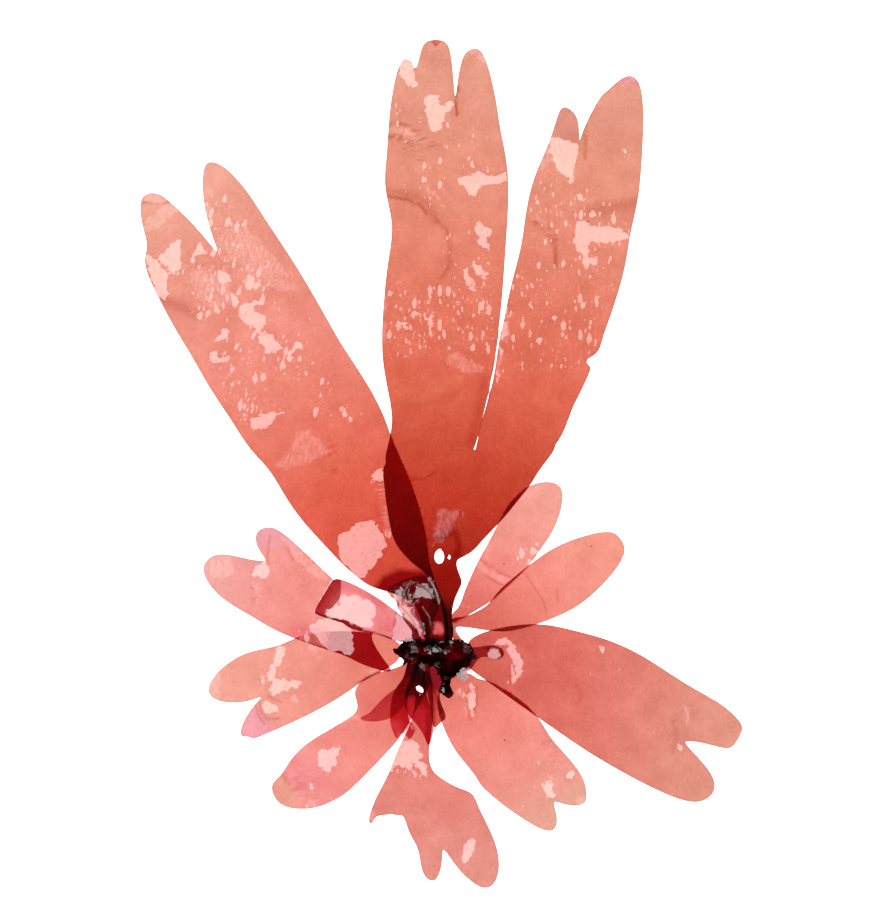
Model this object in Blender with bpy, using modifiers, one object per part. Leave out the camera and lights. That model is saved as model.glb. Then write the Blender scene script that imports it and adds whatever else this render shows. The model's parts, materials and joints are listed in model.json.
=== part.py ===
"""A dulse plant, a red seaweed, laid out flat: a small lumpy holdfast with strap-like fronds round it.

Lengths are in millimetres until a mesh is made. X runs right and Y up the tall fronds, both from the
middle of the holdfast, and Z is the height above the surface that the plant lies on.
"""

import math

import bmesh
import bpy
import numpy as np
from mathutils import Vector
from mathutils.geometry import delaunay_2d_cdt

MM = 0.001

# Driving sizes
BLADE_THICKNESS = 0.4
STALK_THICKNESS = 0.7
LAYER_GAP = 0.4
HOLDFAST_HEIGHT = 6.5
HOLDFAST_RIM = 1.2
HOLDFAST_SHOULDER = 2.2
STUB_HEIGHT = 2.4
STUB_RIM = 0.9
STUB_SHOULDER = 1.6
FORK_SEAM = 0.6

# How round the holdfast's lumps are: 0 is flat, and 1 is half a ball
LUMP_ROUNDNESS = 0.72

# Steeper bends than this on a lump stay crisp, in degrees
SHARP_BEND = 50.0
WET_ROUGHNESS = 0.25

# How closely the outlines and the sheets are divided
CURVE_STEPS = 12
OUTLINE_SAG = 0.22
SHORTEST_EDGE = 1.1
SMALL_STEP = 2.4
MIDDLE_STEP = 5.0
LARGE_STEP = 8.0
MARGIN_SHARE = 0.55
HOLE_CORNERS = 10

# A sloping blade reaches higher than its thickness, by about this much
SLOPE_ALLOWANCE = 1.1

# The gentle swells of the wet blades, which otherwise lie flat
SWELL_HEIGHT = 1.5
SWELL_LENGTH = 74.0
SWELL_FLAT_SHARE = 0.35
SWELL_WAVES = [
    # share of x, share of y and phase of each of the two crossed waves
    (1.0, 0.35, 0.9), (-0.3, 0.8, 0.4),
]

# The area that the heights of laid blades are kept for
FIELD_LOW = (-115.0, -90.0)
FIELD_HIGH = (115.0, 225.0)
FIELD_CELL = 1.0
FIELD_BLUR = 2

HOLDFAST = [
    (-16.5, 0.8), (-15.6, 2.6), (-13.0, 4.4), (-8.0, 4.8), (-4.0, 4.0), (-1.0, 4.5), (2.0, 5.0),
    (5.2, 4.6), (8.0, 3.6), (9.4, 1.5), (9.0, -1.4), (7.6, -4.2), (5.2, -6.2), (2.6, -7.2),
    (-0.6, -7.0), (-2.8, -4.6), (-7.0, -2.2), (-11.0, -2.6), (-14.4, -1.2),
]
HOLDFAST_LUMPS = [
    # middle x, y, radius and share of the full height
    (3.8, -1.6, 5.2, 1.0), (-0.6, 1.4, 3.6, 0.72), (-5.2, 1.6, 3.2, 0.58), (-10.0, 1.4, 3.2, 0.62),
    (-14.0, 1.2, 2.6, 0.4), (6.2, 1.8, 3.0, 0.7), (0.8, -4.6, 2.8, 0.66),
]

TALL_LEFT_FROND = [
    (-100.3, 161.4), (-103.3, 162.2), (-106.4, 160.1), (-107.0, 156.8), (-106.8, 152.6),
    (-105.7, 149.3), (-104.3, 143.0), (-105.5, 139.6), (-104.9, 134.4), (-103.3, 130.6),
    (-99.3, 123.0), (-95.9, 116.3), (-89.3, 105.5), (-82.1, 92.8), (-75.0, 82.3), (-68.3, 71.8),
    (-62.1, 65.7), (-57.4, 57.8), (-52.0, 49.4), (-43.6, 39.9), (-33.3, 29.1), (-25.9, 23.7),
    (-20.0, 22.2), (-14.0, 20.0), (-9.6, 16.6), (-8.2, 11.5), (-7.6, 6.4), (-6.6, 3.4),
    (0.6, 3.4), (1.2, 9.8), (0.6, 15.6), (-3.0, 24.0), (-5.8, 33.1), (-6.1, 39.6),
    (-8.6, 50.4), (-11.8, 60.2), (-15.0, 67.6), (-19.2, 77.2), (-22.2, 86.0), (-25.6, 92.1),
    (-29.6, 98.8), (-36.3, 108.9), (-45.1, 124.4), (-53.2, 137.9), (-64.3, 154.7), (-69.3, 162.6),
    (-76.1, 170.2), (-78.8, 172.0), (-82.1, 173.0), (-83.9, 172.2), (-84.9, 169.7), (-85.2, 163.5),
    (-84.1, 155.4), (-82.1, 148.0), (-80.2, 143.0), (-78.6, 139.4), (-80.2, 141.2), (-85.8, 148.3),
    (-92.9, 155.5), (-97.7, 160.1),
]

# Where the two lobes of the forked frond leave its base, left end and right end of each
MIDDLE_LOBE_ROOT = ((-20.6, 67.6), (9.7, 71.4))
RIGHT_LOBE_ROOT = ((10.9, 71.6), (38.6, 73.4))

FORKED_FROND_BASE = [
    (34.9, 67.0), (32.3, 63.7), (30.3, 59.9), (27.1, 56.0), (20.7, 48.1), (12.8, 39.7),
    (10.2, 36.4), (6.9, 34.4), (4.0, 33.2), (4.2, 29.9), (5.5, 27.4), (6.1, 25.4), (4.4, 22.3),
    (3.0, 18.9), (2.3, 14.7), (2.2, 10.5), (2.4, 5.3), (1.6, 1.6), (-0.4, 1.6), (-0.1, 8.8),
    (-0.4, 13.0), (-1.4, 18.2), (-3.2, 22.8), (-6.1, 28.4), (-9.6, 30.6), (-13.5, 34.1),
    (-16.5, 37.5), (-18.7, 42.0), (-19.7, 48.0), (-21.1, 57.8),
]
FORKED_FROND_HOLE = ((-2.0, 34.4), (1.8, 2.6))

FORKED_FROND_MIDDLE_LOBE = [
    (12.0, 79.4), (15.2, 93.1), (17.2, 102.8), (18.7, 113.2), (20.0, 124.6), (20.9, 137.0),
    (22.0, 153.3), (22.4, 161.7), (21.6, 174.1), (19.5, 183.2), (18.0, 194.3), (15.4, 205.3),
    (14.1, 209.2), (12.1, 212.2), (9.9, 212.5), (6.9, 210.9), (5.3, 207.0), (4.3, 200.4),
    (3.6, 194.0), (3.2, 200.0), (2.5, 206.4), (1.6, 213.0), (-0.2, 215.3), (-3.5, 215.6),
    (-6.7, 215.1), (-8.4, 212.6), (-9.2, 207.8), (-10.4, 204.2), (-11.4, 207.6), (-13.9, 209.2),
    (-16.4, 206.2), (-18.4, 197.5), (-19.7, 187.8), (-20.2, 177.3), (-21.3, 166.4), (-20.7, 161.0),
    (-19.1, 155.2), (-18.3, 148.8), (-19.0, 143.5), (-20.5, 134.4), (-21.4, 124.6), (-22.2, 110.6),
    (-21.6, 100.2), (-19.7, 91.1), (-18.3, 82.0), (-19.3, 75.6),
]

FORKED_FROND_RIGHT_LOBE = [
    (43.4, 82.6), (44.3, 85.9), (46.6, 89.8), (50.2, 98.2), (51.4, 100.8), (49.8, 103.2),
    (52.0, 104.6), (54.3, 106.2), (54.6, 109.0), (57.1, 115.9), (60.6, 126.6), (63.5, 137.0),
    (64.2, 143.5), (66.2, 152.6), (68.4, 163.7), (68.8, 172.5), (69.4, 180.6), (69.6, 190.8),
    (68.9, 198.8), (67.4, 201.7), (65.2, 203.2), (62.2, 202.4), (59.6, 200.4), (57.4, 197.9),
    (55.1, 196.6), (53.1, 193.6), (49.2, 185.9), (47.6, 181.9), (47.0, 178.0), (47.2, 184.6),
    (46.0, 189.4), (44.0, 191.3), (41.4, 192.3), (39.8, 190.4), (38.9, 186.6), (35.6, 177.3),
    (31.0, 167.0), (28.1, 153.9), (26.8, 143.5), (23.5, 131.1), (21.6, 122.2), (19.5, 111.3),
    (17.6, 98.2), (14.6, 85.2), (12.7, 79.3), (11.4, 74.8),
]

UPPER_RIGHT_INNER_FROND = [
    (2.6, 11.4), (3.2, 13.8), (5.4, 17.6), (6.5, 21.7), (8.1, 25.3), (12.1, 33.8), (16.2, 41.0),
    (21.4, 51.5), (24.6, 55.4), (29.8, 59.5), (33.7, 60.5), (36.9, 60.8), (39.1, 60.0),
    (40.7, 58.9), (41.4, 56.7), (41.2, 54.0), (40.7, 50.4), (37.1, 41.9), (32.8, 36.1),
    (29.9, 31.5), (23.4, 25.3), (16.2, 18.6), (13.5, 17.0), (9.5, 14.9), (6.4, 12.6), (4.0, 11.0),
]

UPPER_RIGHT_OUTER_FROND = [
    (2.6, 12.4), (5.7, 12.8), (9.0, 14.3), (13.1, 16.3), (15.8, 18.1), (17.5, 21.2), (23.4, 26.6),
    (29.6, 31.5), (36.9, 36.8), (44.0, 40.1), (48.1, 41.4), (55.7, 43.3), (59.3, 43.0),
    (62.4, 39.8), (63.2, 37.4), (62.9, 34.7), (58.4, 28.0), (54.8, 23.9), (50.3, 19.9),
    (45.9, 16.5), (41.3, 14.3), (33.3, 11.1), (26.1, 9.1), (21.6, 8.2), (14.0, 8.8), (7.6, 9.9),
    (4.6, 10.0), (5.8, 6.6), (6.8, 2.6), (4.6, 2.6), (3.2, 7.0), (2.5, 10.0),
]

RIGHT_FROND = [
    (7.2, 2.6), (9.0, 5.6), (11.2, 7.0), (14.4, 8.2), (19.3, 9.5), (24.5, 10.3), (33.4, 10.9),
    (42.0, 9.3), (51.4, 6.9), (60.0, 4.2), (70.0, -0.8), (79.4, -7.0), (89.4, -13.1),
    (97.7, -17.7), (100.9, -20.6), (103.1, -22.8), (104.5, -25.6), (103.8, -28.1), (102.2, -30.2),
    (100.9, -32.6), (98.0, -33.0), (90.9, -30.9), (87.0, -30.2), (83.8, -30.5), (85.5, -32.8),
    (88.7, -35.7), (91.6, -38.9), (93.7, -42.1), (94.7, -45.0), (94.5, -47.5), (92.3, -50.4),
    (88.7, -51.8), (85.9, -51.8), (80.9, -50.4), (70.0, -45.4), (59.3, -39.6), (49.2, -33.5),
    (39.9, -27.1), (31.9, -21.5), (23.5, -15.6), (18.2, -11.7), (13.0, -7.7), (9.4, -5.6),
    (6.2, -2.0),
]

LOWER_RIGHT_FROND = [
    (2.0, -5.6), (6.0, -7.4), (9.5, -8.4), (15.4, -9.1), (19.8, -11.6), (25.6, -15.2),
    (29.9, -18.8), (34.2, -24.2), (36.3, -28.1), (39.9, -32.4), (44.2, -37.1), (47.8, -41.8),
    (49.4, -45.4), (49.9, -49.0), (49.6, -51.5), (47.8, -52.9), (44.9, -53.2), (40.6, -52.2),
    (37.6, -51.0), (38.5, -53.9), (39.4, -56.8), (39.3, -59.7), (38.1, -61.5), (36.3, -62.0),
    (33.4, -61.1), (26.3, -56.8), (19.1, -51.8), (15.4, -48.6), (12.3, -45.7), (11.2, -43.2),
    (9.0, -40.4), (5.4, -36.1), (2.6, -32.4), (0.0, -26.4), (-1.8, -22.4), (-2.8, -15.8),
    (-1.4, -9.6),
]

BOTTOM_FROND = [
    (-9.4, -6.0), (-10.2, -14.0), (-11.6, -22.8), (-14.2, -28.4), (-16.4, -32.4), (-18.3, -37.8),
    (-21.4, -45.0), (-23.7, -49.2), (-26.1, -54.8), (-26.9, -58.1), (-26.1, -60.0),
    (-25.0, -57.6), (-23.9, -56.4), (-21.9, -56.6), (-19.5, -55.7), (-17.2, -56.5),
    (-14.7, -56.1), (-13.5, -60.0), (-12.4, -63.1), (-10.6, -65.5), (-9.1, -68.8), (-8.8, -72.4),
    (-8.4, -75.3), (-7.0, -78.1), (-5.3, -79.3), (-3.5, -79.3), (-2.0, -77.4), (-1.2, -74.2),
    (-0.8, -70.6), (-1.1, -67.2), (0.7, -70.0), (2.5, -71.8), (4.6, -75.3), (7.2, -77.7),
    (10.2, -80.4), (12.6, -81.8), (15.5, -81.8), (17.6, -80.1), (18.8, -77.1), (19.1, -73.6),
    (18.6, -68.8), (16.7, -63.5), (13.8, -57.5), (11.4, -52.7), (9.5, -48.4), (5.4, -47.1),
    (1.3, -45.0), (-2.3, -42.9), (-4.1, -41.2), (-5.6, -38.2), (-5.8, -33.1), (-4.9, -27.2),
    (-4.0, -20.0), (-4.4, -12.0), (-5.4, -6.0),
]

LOWER_LEFT_FROND = [
    (-61.0, -46.8), (-60.3, -44.5), (-57.2, -42.2), (-56.4, -40.3), (-54.6, -37.3),
    (-50.8, -33.1), (-46.3, -29.6), (-41.5, -26.9), (-34.1, -22.4), (-31.5, -20.7),
    (-30.5, -18.6), (-30.7, -16.6), (-32.0, -13.8), (-30.6, -10.4), (-27.6, -8.2), (-21.9, -5.6),
    (-16.3, -4.5), (-12.4, -1.6), (-7.0, -1.6), (-4.8, -8.8), (-8.1, -15.8), (-12.3, -23.5),
    (-16.0, -29.3), (-18.9, -32.6), (-26.1, -40.3), (-32.6, -46.8), (-36.2, -49.8),
    (-40.4, -51.9), (-44.5, -53.6), (-48.7, -54.2), (-54.0, -54.0), (-57.0, -53.0),
    (-59.4, -51.0), (-60.6, -48.6),
]

LEFT_LOWER_FROND = [
    (-83.0, -12.6), (-82.5, -9.8), (-80.3, -6.5), (-76.9, -3.6), (-73.0, -0.8), (-68.5, 1.1),
    (-62.9, 2.2), (-57.9, 3.4), (-54.5, 5.0), (-47.3, 7.4), (-33.3, 8.2), (-19.3, 6.3),
    (-15.4, 3.4), (-14.0, 0.6), (-16.2, -1.8), (-19.0, -4.2), (-22.5, -6.0), (-28.1, -8.8),
    (-32.6, -12.1), (-39.9, -16.8), (-48.9, -21.6), (-59.5, -26.4), (-64.6, -28.6),
    (-67.4, -29.6), (-69.0, -28.6), (-71.7, -28.9), (-71.8, -26.1), (-70.7, -23.3),
    (-68.3, -19.4), (-66.4, -16.8), (-63.8, -14.4), (-66.0, -15.2), (-69.7, -16.6),
    (-74.1, -16.9), (-78.6, -16.6), (-82.0, -14.9),
]

LEFT_UPPER_FROND = [
    (-84.5, 31.7), (-85.1, 30.0), (-84.8, 28.4), (-83.1, 25.0), (-80.9, 22.2), (-76.9, 18.8),
    (-67.9, 13.4), (-58.5, 8.1), (-50.5, 5.0), (-41.6, 1.7), (-35.4, 0.0), (-30.3, -2.8),
    (-22.5, -5.4), (-18.0, -6.1), (-19.7, -3.9), (-21.9, -0.8), (-24.7, 3.1), (-25.9, 6.4),
    (-24.0, 9.0), (-18.0, 8.0), (-12.0, 5.6), (-11.0, 3.0), (-9.0, 3.0), (-10.0, 8.0),
    (-14.0, 13.0), (-21.0, 16.6), (-29.8, 19.3), (-35.0, 22.0), (-39.3, 26.5), (-42.7, 29.8),
    (-46.6, 33.4), (-50.5, 37.3), (-54.5, 40.7), (-57.3, 43.2), (-59.5, 44.5), (-62.3, 44.9),
    (-65.1, 44.0), (-66.3, 42.6), (-66.6, 40.7), (-66.3, 38.4), (-65.1, 36.2), (-63.8, 34.4),
    (-62.3, 32.8), (-65.1, 32.9), (-69.1, 33.4), (-72.5, 34.4), (-76.3, 35.2), (-79.7, 35.4),
    (-82.5, 34.2),
]

FOLDED_LEFT_FROND = [
    (-39.3, 26.4), (-37.7, 26.9), (-34.3, 25.9), (-29.8, 23.6), (-25.9, 21.6), (-22.5, 19.4),
    (-19.7, 17.2), (-15.8, 14.4), (-11.8, 10.8), (-8.8, 7.4), (-8.2, 3.6), (-11.6, 3.6),
    (-14.0, 4.6), (-17.8, 4.9), (-21.9, 7.0), (-29.8, 8.4), (-33.1, 9.2), (-35.4, 11.3),
    (-38.8, 12.3), (-42.1, 13.0), (-45.9, 14.9), (-44.5, 17.9), (-42.7, 20.5), (-41.0, 23.5),
]

CRUMPLED_LEAFLET = [
    (-20.8, 22.6), (-17.2, 25.0), (-12.3, 27.2), (-6.4, 27.8), (-3.4, 24.5), (-1.6, 19.4),
    (-2.6, 15.4), (-4.4, 11.6), (-4.6, 7.0), (-4.8, 3.4), (-7.8, 3.4), (-8.8, 8.0), (-10.4, 13.0),
    (-13.6, 17.0), (-18.0, 20.2),
]

WING_LEAFLET = [
    (-30.2, -22.2), (-26.4, -20.3), (-23.1, -16.6), (-19.1, -13.0), (-16.3, -11.2),
    (-14.6, -8.0), (-13.4, -3.6), (-11.6, -1.4), (-11.2, -6.0), (-12.2, -12.0), (-14.7, -17.6),
    (-18.6, -21.8), (-21.9, -22.9), (-25.9, -23.3),
]

BROAD_LEAFLET = [
    (-12.6, -1.4), (-14.0, -7.0), (-16.2, -10.1), (-17.9, -12.6), (-19.0, -17.9),
    (-19.1, -23.9), (-18.3, -26.4), (-16.9, -29.4), (-15.9, -27.7), (-14.9, -27.0),
    (-13.7, -27.7), (-12.4, -29.6), (-11.1, -28.0), (-10.1, -25.4), (-12.0, -23.6),
    (-13.2, -18.6), (-12.6, -13.4), (-10.2, -8.4), (-8.8, -1.4),
]

POINTED_LEAFLET = [
    (-10.2, -1.4), (-11.6, -7.0), (-13.6, -12.0), (-14.4, -17.0), (-11.8, -22.0), (-10.2, -23.5),
    (-8.6, -25.8), (-7.4, -27.7), (-6.6, -29.6), (-6.3, -31.2), (-5.3, -31.2), (-4.7, -28.9),
    (-3.9, -25.5), (-4.4, -21.1), (-5.1, -18.0), (-6.4, -13.2), (-7.1, -8.0), (-7.4, -1.4),
]
POINTED_LEAFLET_HOLE = ((-8.9, -12.0), (1.1, 1.1))

NARROW_LEAFLET = [
    (-5.0, -1.6), (-2.6, -5.6), (-2.2, -9.4), (-2.3, -12.6), (-1.4, -16.7), (-0.3, -19.3),
    (0.4, -22.1), (-0.9, -22.6), (-1.6, -23.8), (-2.7, -24.5), (-3.9, -25.8), (-4.6, -21.0),
    (-5.6, -15.8), (-7.0, -10.5), (-7.8, -6.0), (-8.0, -1.6),
]

STALKED_LEAFLET = [
    (6.8, 2.4), (11.8, 2.8), (14.4, 3.5), (16.2, 3.6), (18.4, 3.2), (20.3, 2.1), (20.9, 0.4),
    (19.6, -1.2), (17.2, -1.4), (15.8, -0.6), (14.4, -0.4), (12.1, -0.6), (11.0, -1.8),
    (10.3, -3.6), (9.2, -4.4), (6.2, -2.4),
]

GLOSSY_LEAFLET = [
    (4.6, -3.4), (6.8, -3.6), (8.2, -6.2), (8.8, -8.2), (7.2, -9.4), (5.8, -9.1), (4.8, -7.8),
    (3.6, -6.2),
]

STUB = [
    (-1.6, -6.0), (2.4, -6.2), (1.8, -8.6), (1.7, -11.0), (2.6, -13.4), (1.8, -14.8),
    (0.2, -14.0), (-1.8, -12.4), (-0.9, -9.6),
]

COLOURS = {
    "holdfast": (0.02, 0.003, 0.005),
    "large": (0.80, 0.20, 0.13),
    "base": (0.55, 0.09, 0.06),
    "small": (0.82, 0.27, 0.21),
    "dark": (0.35, 0.01, 0.02),
}


def area_of(loop):
    """The signed area inside a loop of points, which is positive when it runs anticlockwise."""
    turned = np.roll(loop, -1, axis=0)
    return 0.5 * float(np.sum(loop[:, 0] * turned[:, 1] - turned[:, 0] * loop[:, 1]))


def smooth_loop(points):
    """A closed centripetal Catmull-Rom curve through the points, divided by how sharply it bends."""
    corners = np.array(points, dtype=float)
    count = len(corners)
    fine = []
    for index in range(count):
        p0, p1, p2, p3 = (corners[(index + k) % count] for k in (-1, 0, 1, 2))
        t1 = math.sqrt(np.linalg.norm(p1 - p0))
        t2 = t1 + math.sqrt(np.linalg.norm(p2 - p1))
        t3 = t2 + math.sqrt(np.linalg.norm(p3 - p2))
        for t in np.linspace(t1, t2, CURVE_STEPS, endpoint=False):
            a1 = (t1 - t) / t1 * p0 + t / t1 * p1
            a2 = (t2 - t) / (t2 - t1) * p1 + (t - t1) / (t2 - t1) * p2
            a3 = (t3 - t) / (t3 - t2) * p2 + (t - t2) / (t3 - t2) * p3
            b1 = (t2 - t) / t2 * a1 + t / t2 * a2
            b2 = (t3 - t) / (t3 - t1) * a2 + (t - t1) / (t3 - t1) * a3
            fine.append((t2 - t) / (t2 - t1) * b1 + (t - t1) / (t2 - t1) * b2)
    return np.array(fine)


def sag(chain):
    """How far a chain of points bows away from the straight line between its ends."""
    start, end = chain[0], chain[-1]
    along = end - start
    length = max(float(np.linalg.norm(along)), 1e-6)
    offsets = chain - start
    return float(np.max(np.abs(along[0] * offsets[:, 1] - along[1] * offsets[:, 0]))) / length


def divided(chain, longest):
    """Thins a finely divided chain to edges that leave the curve by no more than OUTLINE_SAG."""
    kept = [0]
    while kept[-1] < len(chain) - 1:
        start = end = kept[-1]
        while end < len(chain) - 1:
            length = float(np.linalg.norm(chain[end + 1] - chain[start]))
            bowed = sag(chain[start:end + 2]) > OUTLINE_SAG and length > SHORTEST_EDGE
            if end > start and (length > longest or bowed):
                break
            end += 1
        kept.append(end)
    return chain[kept]


def anticlockwise(loop):
    """The loop in anticlockwise order."""
    return loop if area_of(loop) > 0 else loop[::-1]


def outline_of(points, longest):
    """The plan outline of a piece, anticlockwise."""
    fine = smooth_loop(points)
    return anticlockwise(divided(np.vstack([fine, fine[:1]]), longest)[:-1])


def cut_outline(cut, margin, longest):
    """An outline with a straight cut, which a smooth margin closes from the cut's end to its start."""
    controls = np.vstack([cut[-1:], margin, cut[:1]])
    free = smooth_loop(controls)[:CURVE_STEPS * (len(controls) - 1) + 1]
    return anticlockwise(np.vstack([cut, divided(free, longest)[1:-1]]))


def ellipse(middle, radii):
    """An anticlockwise ellipse, for a hole in a blade."""
    turns = np.linspace(0, 2 * math.pi, HOLE_CORNERS, endpoint=False)
    return np.column_stack([middle[0] + radii[0] * np.cos(turns), middle[1] + radii[1] * np.sin(turns)])


def grown(loop, distance):
    """An anticlockwise loop moved outwards."""
    along = np.roll(loop, -1, axis=0) - np.roll(loop, 1, axis=0)
    outwards = np.column_stack([along[:, 1], -along[:, 0]])
    return loop + distance * outwards / np.linalg.norm(outwards, axis=1)[:, None]


def inside(loop, points):
    """Which of the points lie inside a loop."""
    found = np.zeros(len(points), dtype=bool)
    for start, end in zip(loop, np.roll(loop, -1, axis=0)):
        crosses = (start[1] > points[:, 1]) != (end[1] > points[:, 1])
        rise = end[1] - start[1] if end[1] != start[1] else 1.0
        meets = start[0] + (points[:, 1] - start[1]) * (end[0] - start[0]) / rise
        found ^= crosses & (points[:, 0] < meets)
    return found


def distance_to(loop, points):
    """How far each point is from the nearest edge of a loop."""
    nearest = np.full(len(points), np.inf)
    for start, end in zip(loop, np.roll(loop, -1, axis=0)):
        along = end - start
        share = np.clip((points - start) @ along / max(float(along @ along), 1e-9), 0, 1)
        nearest = np.minimum(nearest, np.linalg.norm(points - start - share[:, None] * along, axis=1))
    return nearest


def spread_inside(loops, step):
    """Points on a triangular grid that are inside the first loop and clear of all of them."""
    low, high = loops[0].min(axis=0), loops[0].max(axis=0)
    row_step = step * math.sqrt(3) / 2
    grid = []
    for row, y in enumerate(np.arange(low[1], high[1], row_step)):
        shift = step / 2 * (row % 2)
        grid += [(x + shift, y) for x in np.arange(low[0], high[0], step)]
    points = np.array(grid)
    kept = inside(loops[0], points)
    for loop in loops:
        kept &= distance_to(loop, points) > MARGIN_SHARE * step
    return points[kept]


def triangles_of(loops, step):
    """Points and anticlockwise triangles that fill the first loop and leave out the others."""
    free = spread_inside(loops, step)
    points = [Vector(point) for loop in loops for point in loop]
    points += [Vector(point) for point in free]
    starts = np.cumsum([0] + [len(loop) for loop in loops])
    faces = [list(range(starts[k], starts[k + 1])) for k in range(len(loops))]
    spots, _, found, _, _, origins = delaunay_2d_cdt(points, [], faces, 1, 1e-5, True)
    kept = [face for face, origin in zip(found, origins) if 0 in origin and max(origin) == 0]
    plan = np.array([tuple(spot) for spot in spots])
    turned = [face if area_of(plan[list(face)]) > 0 else face[::-1] for face in kept]
    return plan, turned


def swell(plan):
    """The height of the wet blades' own gentle swells, which is nothing over most of the surface."""
    x, y = plan[..., 0], plan[..., 1]
    turn = 2 * math.pi / SWELL_LENGTH
    wave = 1.0
    for along_x, along_y, phase in SWELL_WAVES:
        wave = wave * np.sin(turn * (along_x * x + along_y * y) + phase)
    return SWELL_HEIGHT * np.maximum(wave - SWELL_FLAT_SHARE, 0) / (1 - SWELL_FLAT_SHARE)


class Surface:
    """The surface that the plant lies on, with the height of the blades that already lie there."""

    def __init__(self):
        axes = [np.arange(low, high, FIELD_CELL) for low, high in zip(FIELD_LOW, FIELD_HIGH)]
        self.plan = np.stack(np.meshgrid(*axes, indexing="ij"), axis=-1)
        self.top = np.zeros(self.plan.shape[:2])

    def under(self, loop, reach):
        """A smooth height that clears everything under a loop, by LAYER_GAP, within reach of any point."""
        flat = self.plan.reshape(-1, 2)
        near = inside(loop, flat) | (distance_to(loop, flat) < 1.5 * FIELD_CELL)
        held = np.where(near.reshape(self.top.shape), self.top, 0)
        held = np.where(held > 0, held + LAYER_GAP, 0)
        cells = int(math.ceil(reach / FIELD_CELL)) + FIELD_BLUR
        raised = held.copy()
        for step_x in range(-cells, cells + 1):
            for step_y in range(-cells, cells + 1):
                if math.hypot(step_x, step_y) <= cells + 0.5:
                    raised = np.maximum(raised, np.roll(held, (step_x, step_y), axis=(0, 1)))
        for axis in (0, 1):
            shifts = range(-FIELD_BLUR, FIELD_BLUR + 1)
            raised = sum(np.roll(raised, shift, axis=axis) for shift in shifts) / len(shifts)
        return raised

    def read(self, field, points):
        """The value of a field at each point, between its cells."""
        place = (points - np.array(FIELD_LOW)) / FIELD_CELL
        cell = np.floor(place).astype(int)
        share = place - cell
        column, row = cell[:, 0], cell[:, 1]
        near = field[column, row] * (1 - share[:, 0]) + field[column + 1, row] * share[:, 0]
        far = field[column, row + 1] * (1 - share[:, 0]) + field[column + 1, row + 1] * share[:, 0]
        return near * (1 - share[:, 1]) + far * share[:, 1]

    def lay(self, plan, faces, tops):
        """Raises the surface under each triangle of a piece to the piece's top."""
        for face in faces:
            corners, heights = plan[list(face)], tops[list(face)]
            low = np.floor((corners.min(axis=0) - FIELD_LOW) / FIELD_CELL).astype(int)
            high = np.ceil((corners.max(axis=0) - FIELD_LOW) / FIELD_CELL).astype(int) + 1
            block = self.top[low[0]:high[0], low[1]:high[1]]
            np.maximum(block, heights.max(), out=block)


def sheet_heights(surface, plan, loop, step):
    """How high each point of a new blade lies."""
    under = surface.read(surface.under(loop, step), plan)
    return np.maximum(under, swell(plan))


def mesh_object(name, plan, heights, faces, colour):
    """An open sheet as an object with its own material."""
    mesh = bpy.data.meshes.new(name)
    sheet = bmesh.new()
    corners = [sheet.verts.new(Vector((x, y, z)) * MM) for (x, y), z in zip(plan, heights)]
    for face in faces:
        sheet.faces.new([corners[index] for index in face])
    loose = [corner for corner in sheet.verts if not corner.link_faces]
    bmesh.ops.delete(sheet, geom=loose, context="VERTS")
    sheet.to_mesh(mesh)
    sheet.free()
    mesh.materials.append(wet_material(name, colour))
    obj = bpy.data.objects.new(name, mesh)
    plant.objects.link(obj)
    return obj


def wet_material(name, colour):
    """A wet, glossy material in the piece's colour."""
    material = bpy.data.materials.new(name)
    material.use_nodes = True
    shader = material.node_tree.nodes["Principled BSDF"]
    shader.inputs["Base Color"].default_value = (*COLOURS[colour], 1)
    shader.inputs["Roughness"].default_value = WET_ROUGHNESS
    shader.inputs["Metallic"].default_value = 0.0
    return material


def blade(name, points, step, colour, holes=(), thickness=BLADE_THICKNESS):
    """A thin blade, laid over what is under it and cut back where it meets the holdfast."""
    outline = points if isinstance(points, np.ndarray) else outline_of(points, step)
    loops = [outline, *holes, HOLDFAST_CLEARANCE]
    plan, faces = triangles_of(loops, step)
    heights = sheet_heights(surface, plan, loops[0], step)
    obj = mesh_object(name, plan, heights, faces, colour)
    wall = obj.modifiers.new("Thickness", "SOLIDIFY")
    wall.thickness = thickness * MM
    wall.offset = 1
    for polygon in obj.data.polygons:
        polygon.use_smooth = True
    return plan, faces, heights + SLOPE_ALLOWANCE * thickness


def mound(name, points, step, colour, crown, base=None):
    """A thick lump with a domed top, on a flat or a laid underside."""
    loop = outline_of(points, step)
    loops = [loop] if base is None else [loop, HOLDFAST_CLEARANCE]
    plan, faces = triangles_of(loops, step)
    heights = np.zeros(len(plan)) if base is None else sheet_heights(base, plan, loop, step)
    obj = mesh_object(name, plan, heights, faces, colour)
    body = bmesh.new()
    body.from_mesh(obj.data)
    top = bmesh.ops.extrude_face_region(body, geom=list(body.faces))["geom"]
    for corner in (part for part in top if isinstance(part, bmesh.types.BMVert)):
        spot = np.array([corner.co[:2]]) / MM
        corner.co.z += float(crown(spot, loop)[0]) * MM
    bmesh.ops.recalc_face_normals(body, faces=body.faces)
    body.to_mesh(obj.data)
    body.free()
    obj.data.shade_smooth()
    obj.data.set_sharp_from_angle(angle=math.radians(SHARP_BEND))


def holdfast_crown(spots, loop):
    """The height of the holdfast: a low rim, and lumps that run into each other."""
    lumps = np.zeros(len(spots))
    for x, y, radius, share in HOLDFAST_LUMPS:
        away = np.hypot(spots[:, 0] - x, spots[:, 1] - y) / radius
        lumps = np.maximum(lumps, share * np.sqrt(np.maximum(1 - (LUMP_ROUNDNESS * away) ** 2, 0)))
    rise = np.clip(distance_to(loop, spots) / HOLDFAST_SHOULDER, 0, 1)
    return HOLDFAST_RIM + (HOLDFAST_HEIGHT - HOLDFAST_RIM) * lumps * np.sqrt(rise)


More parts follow.
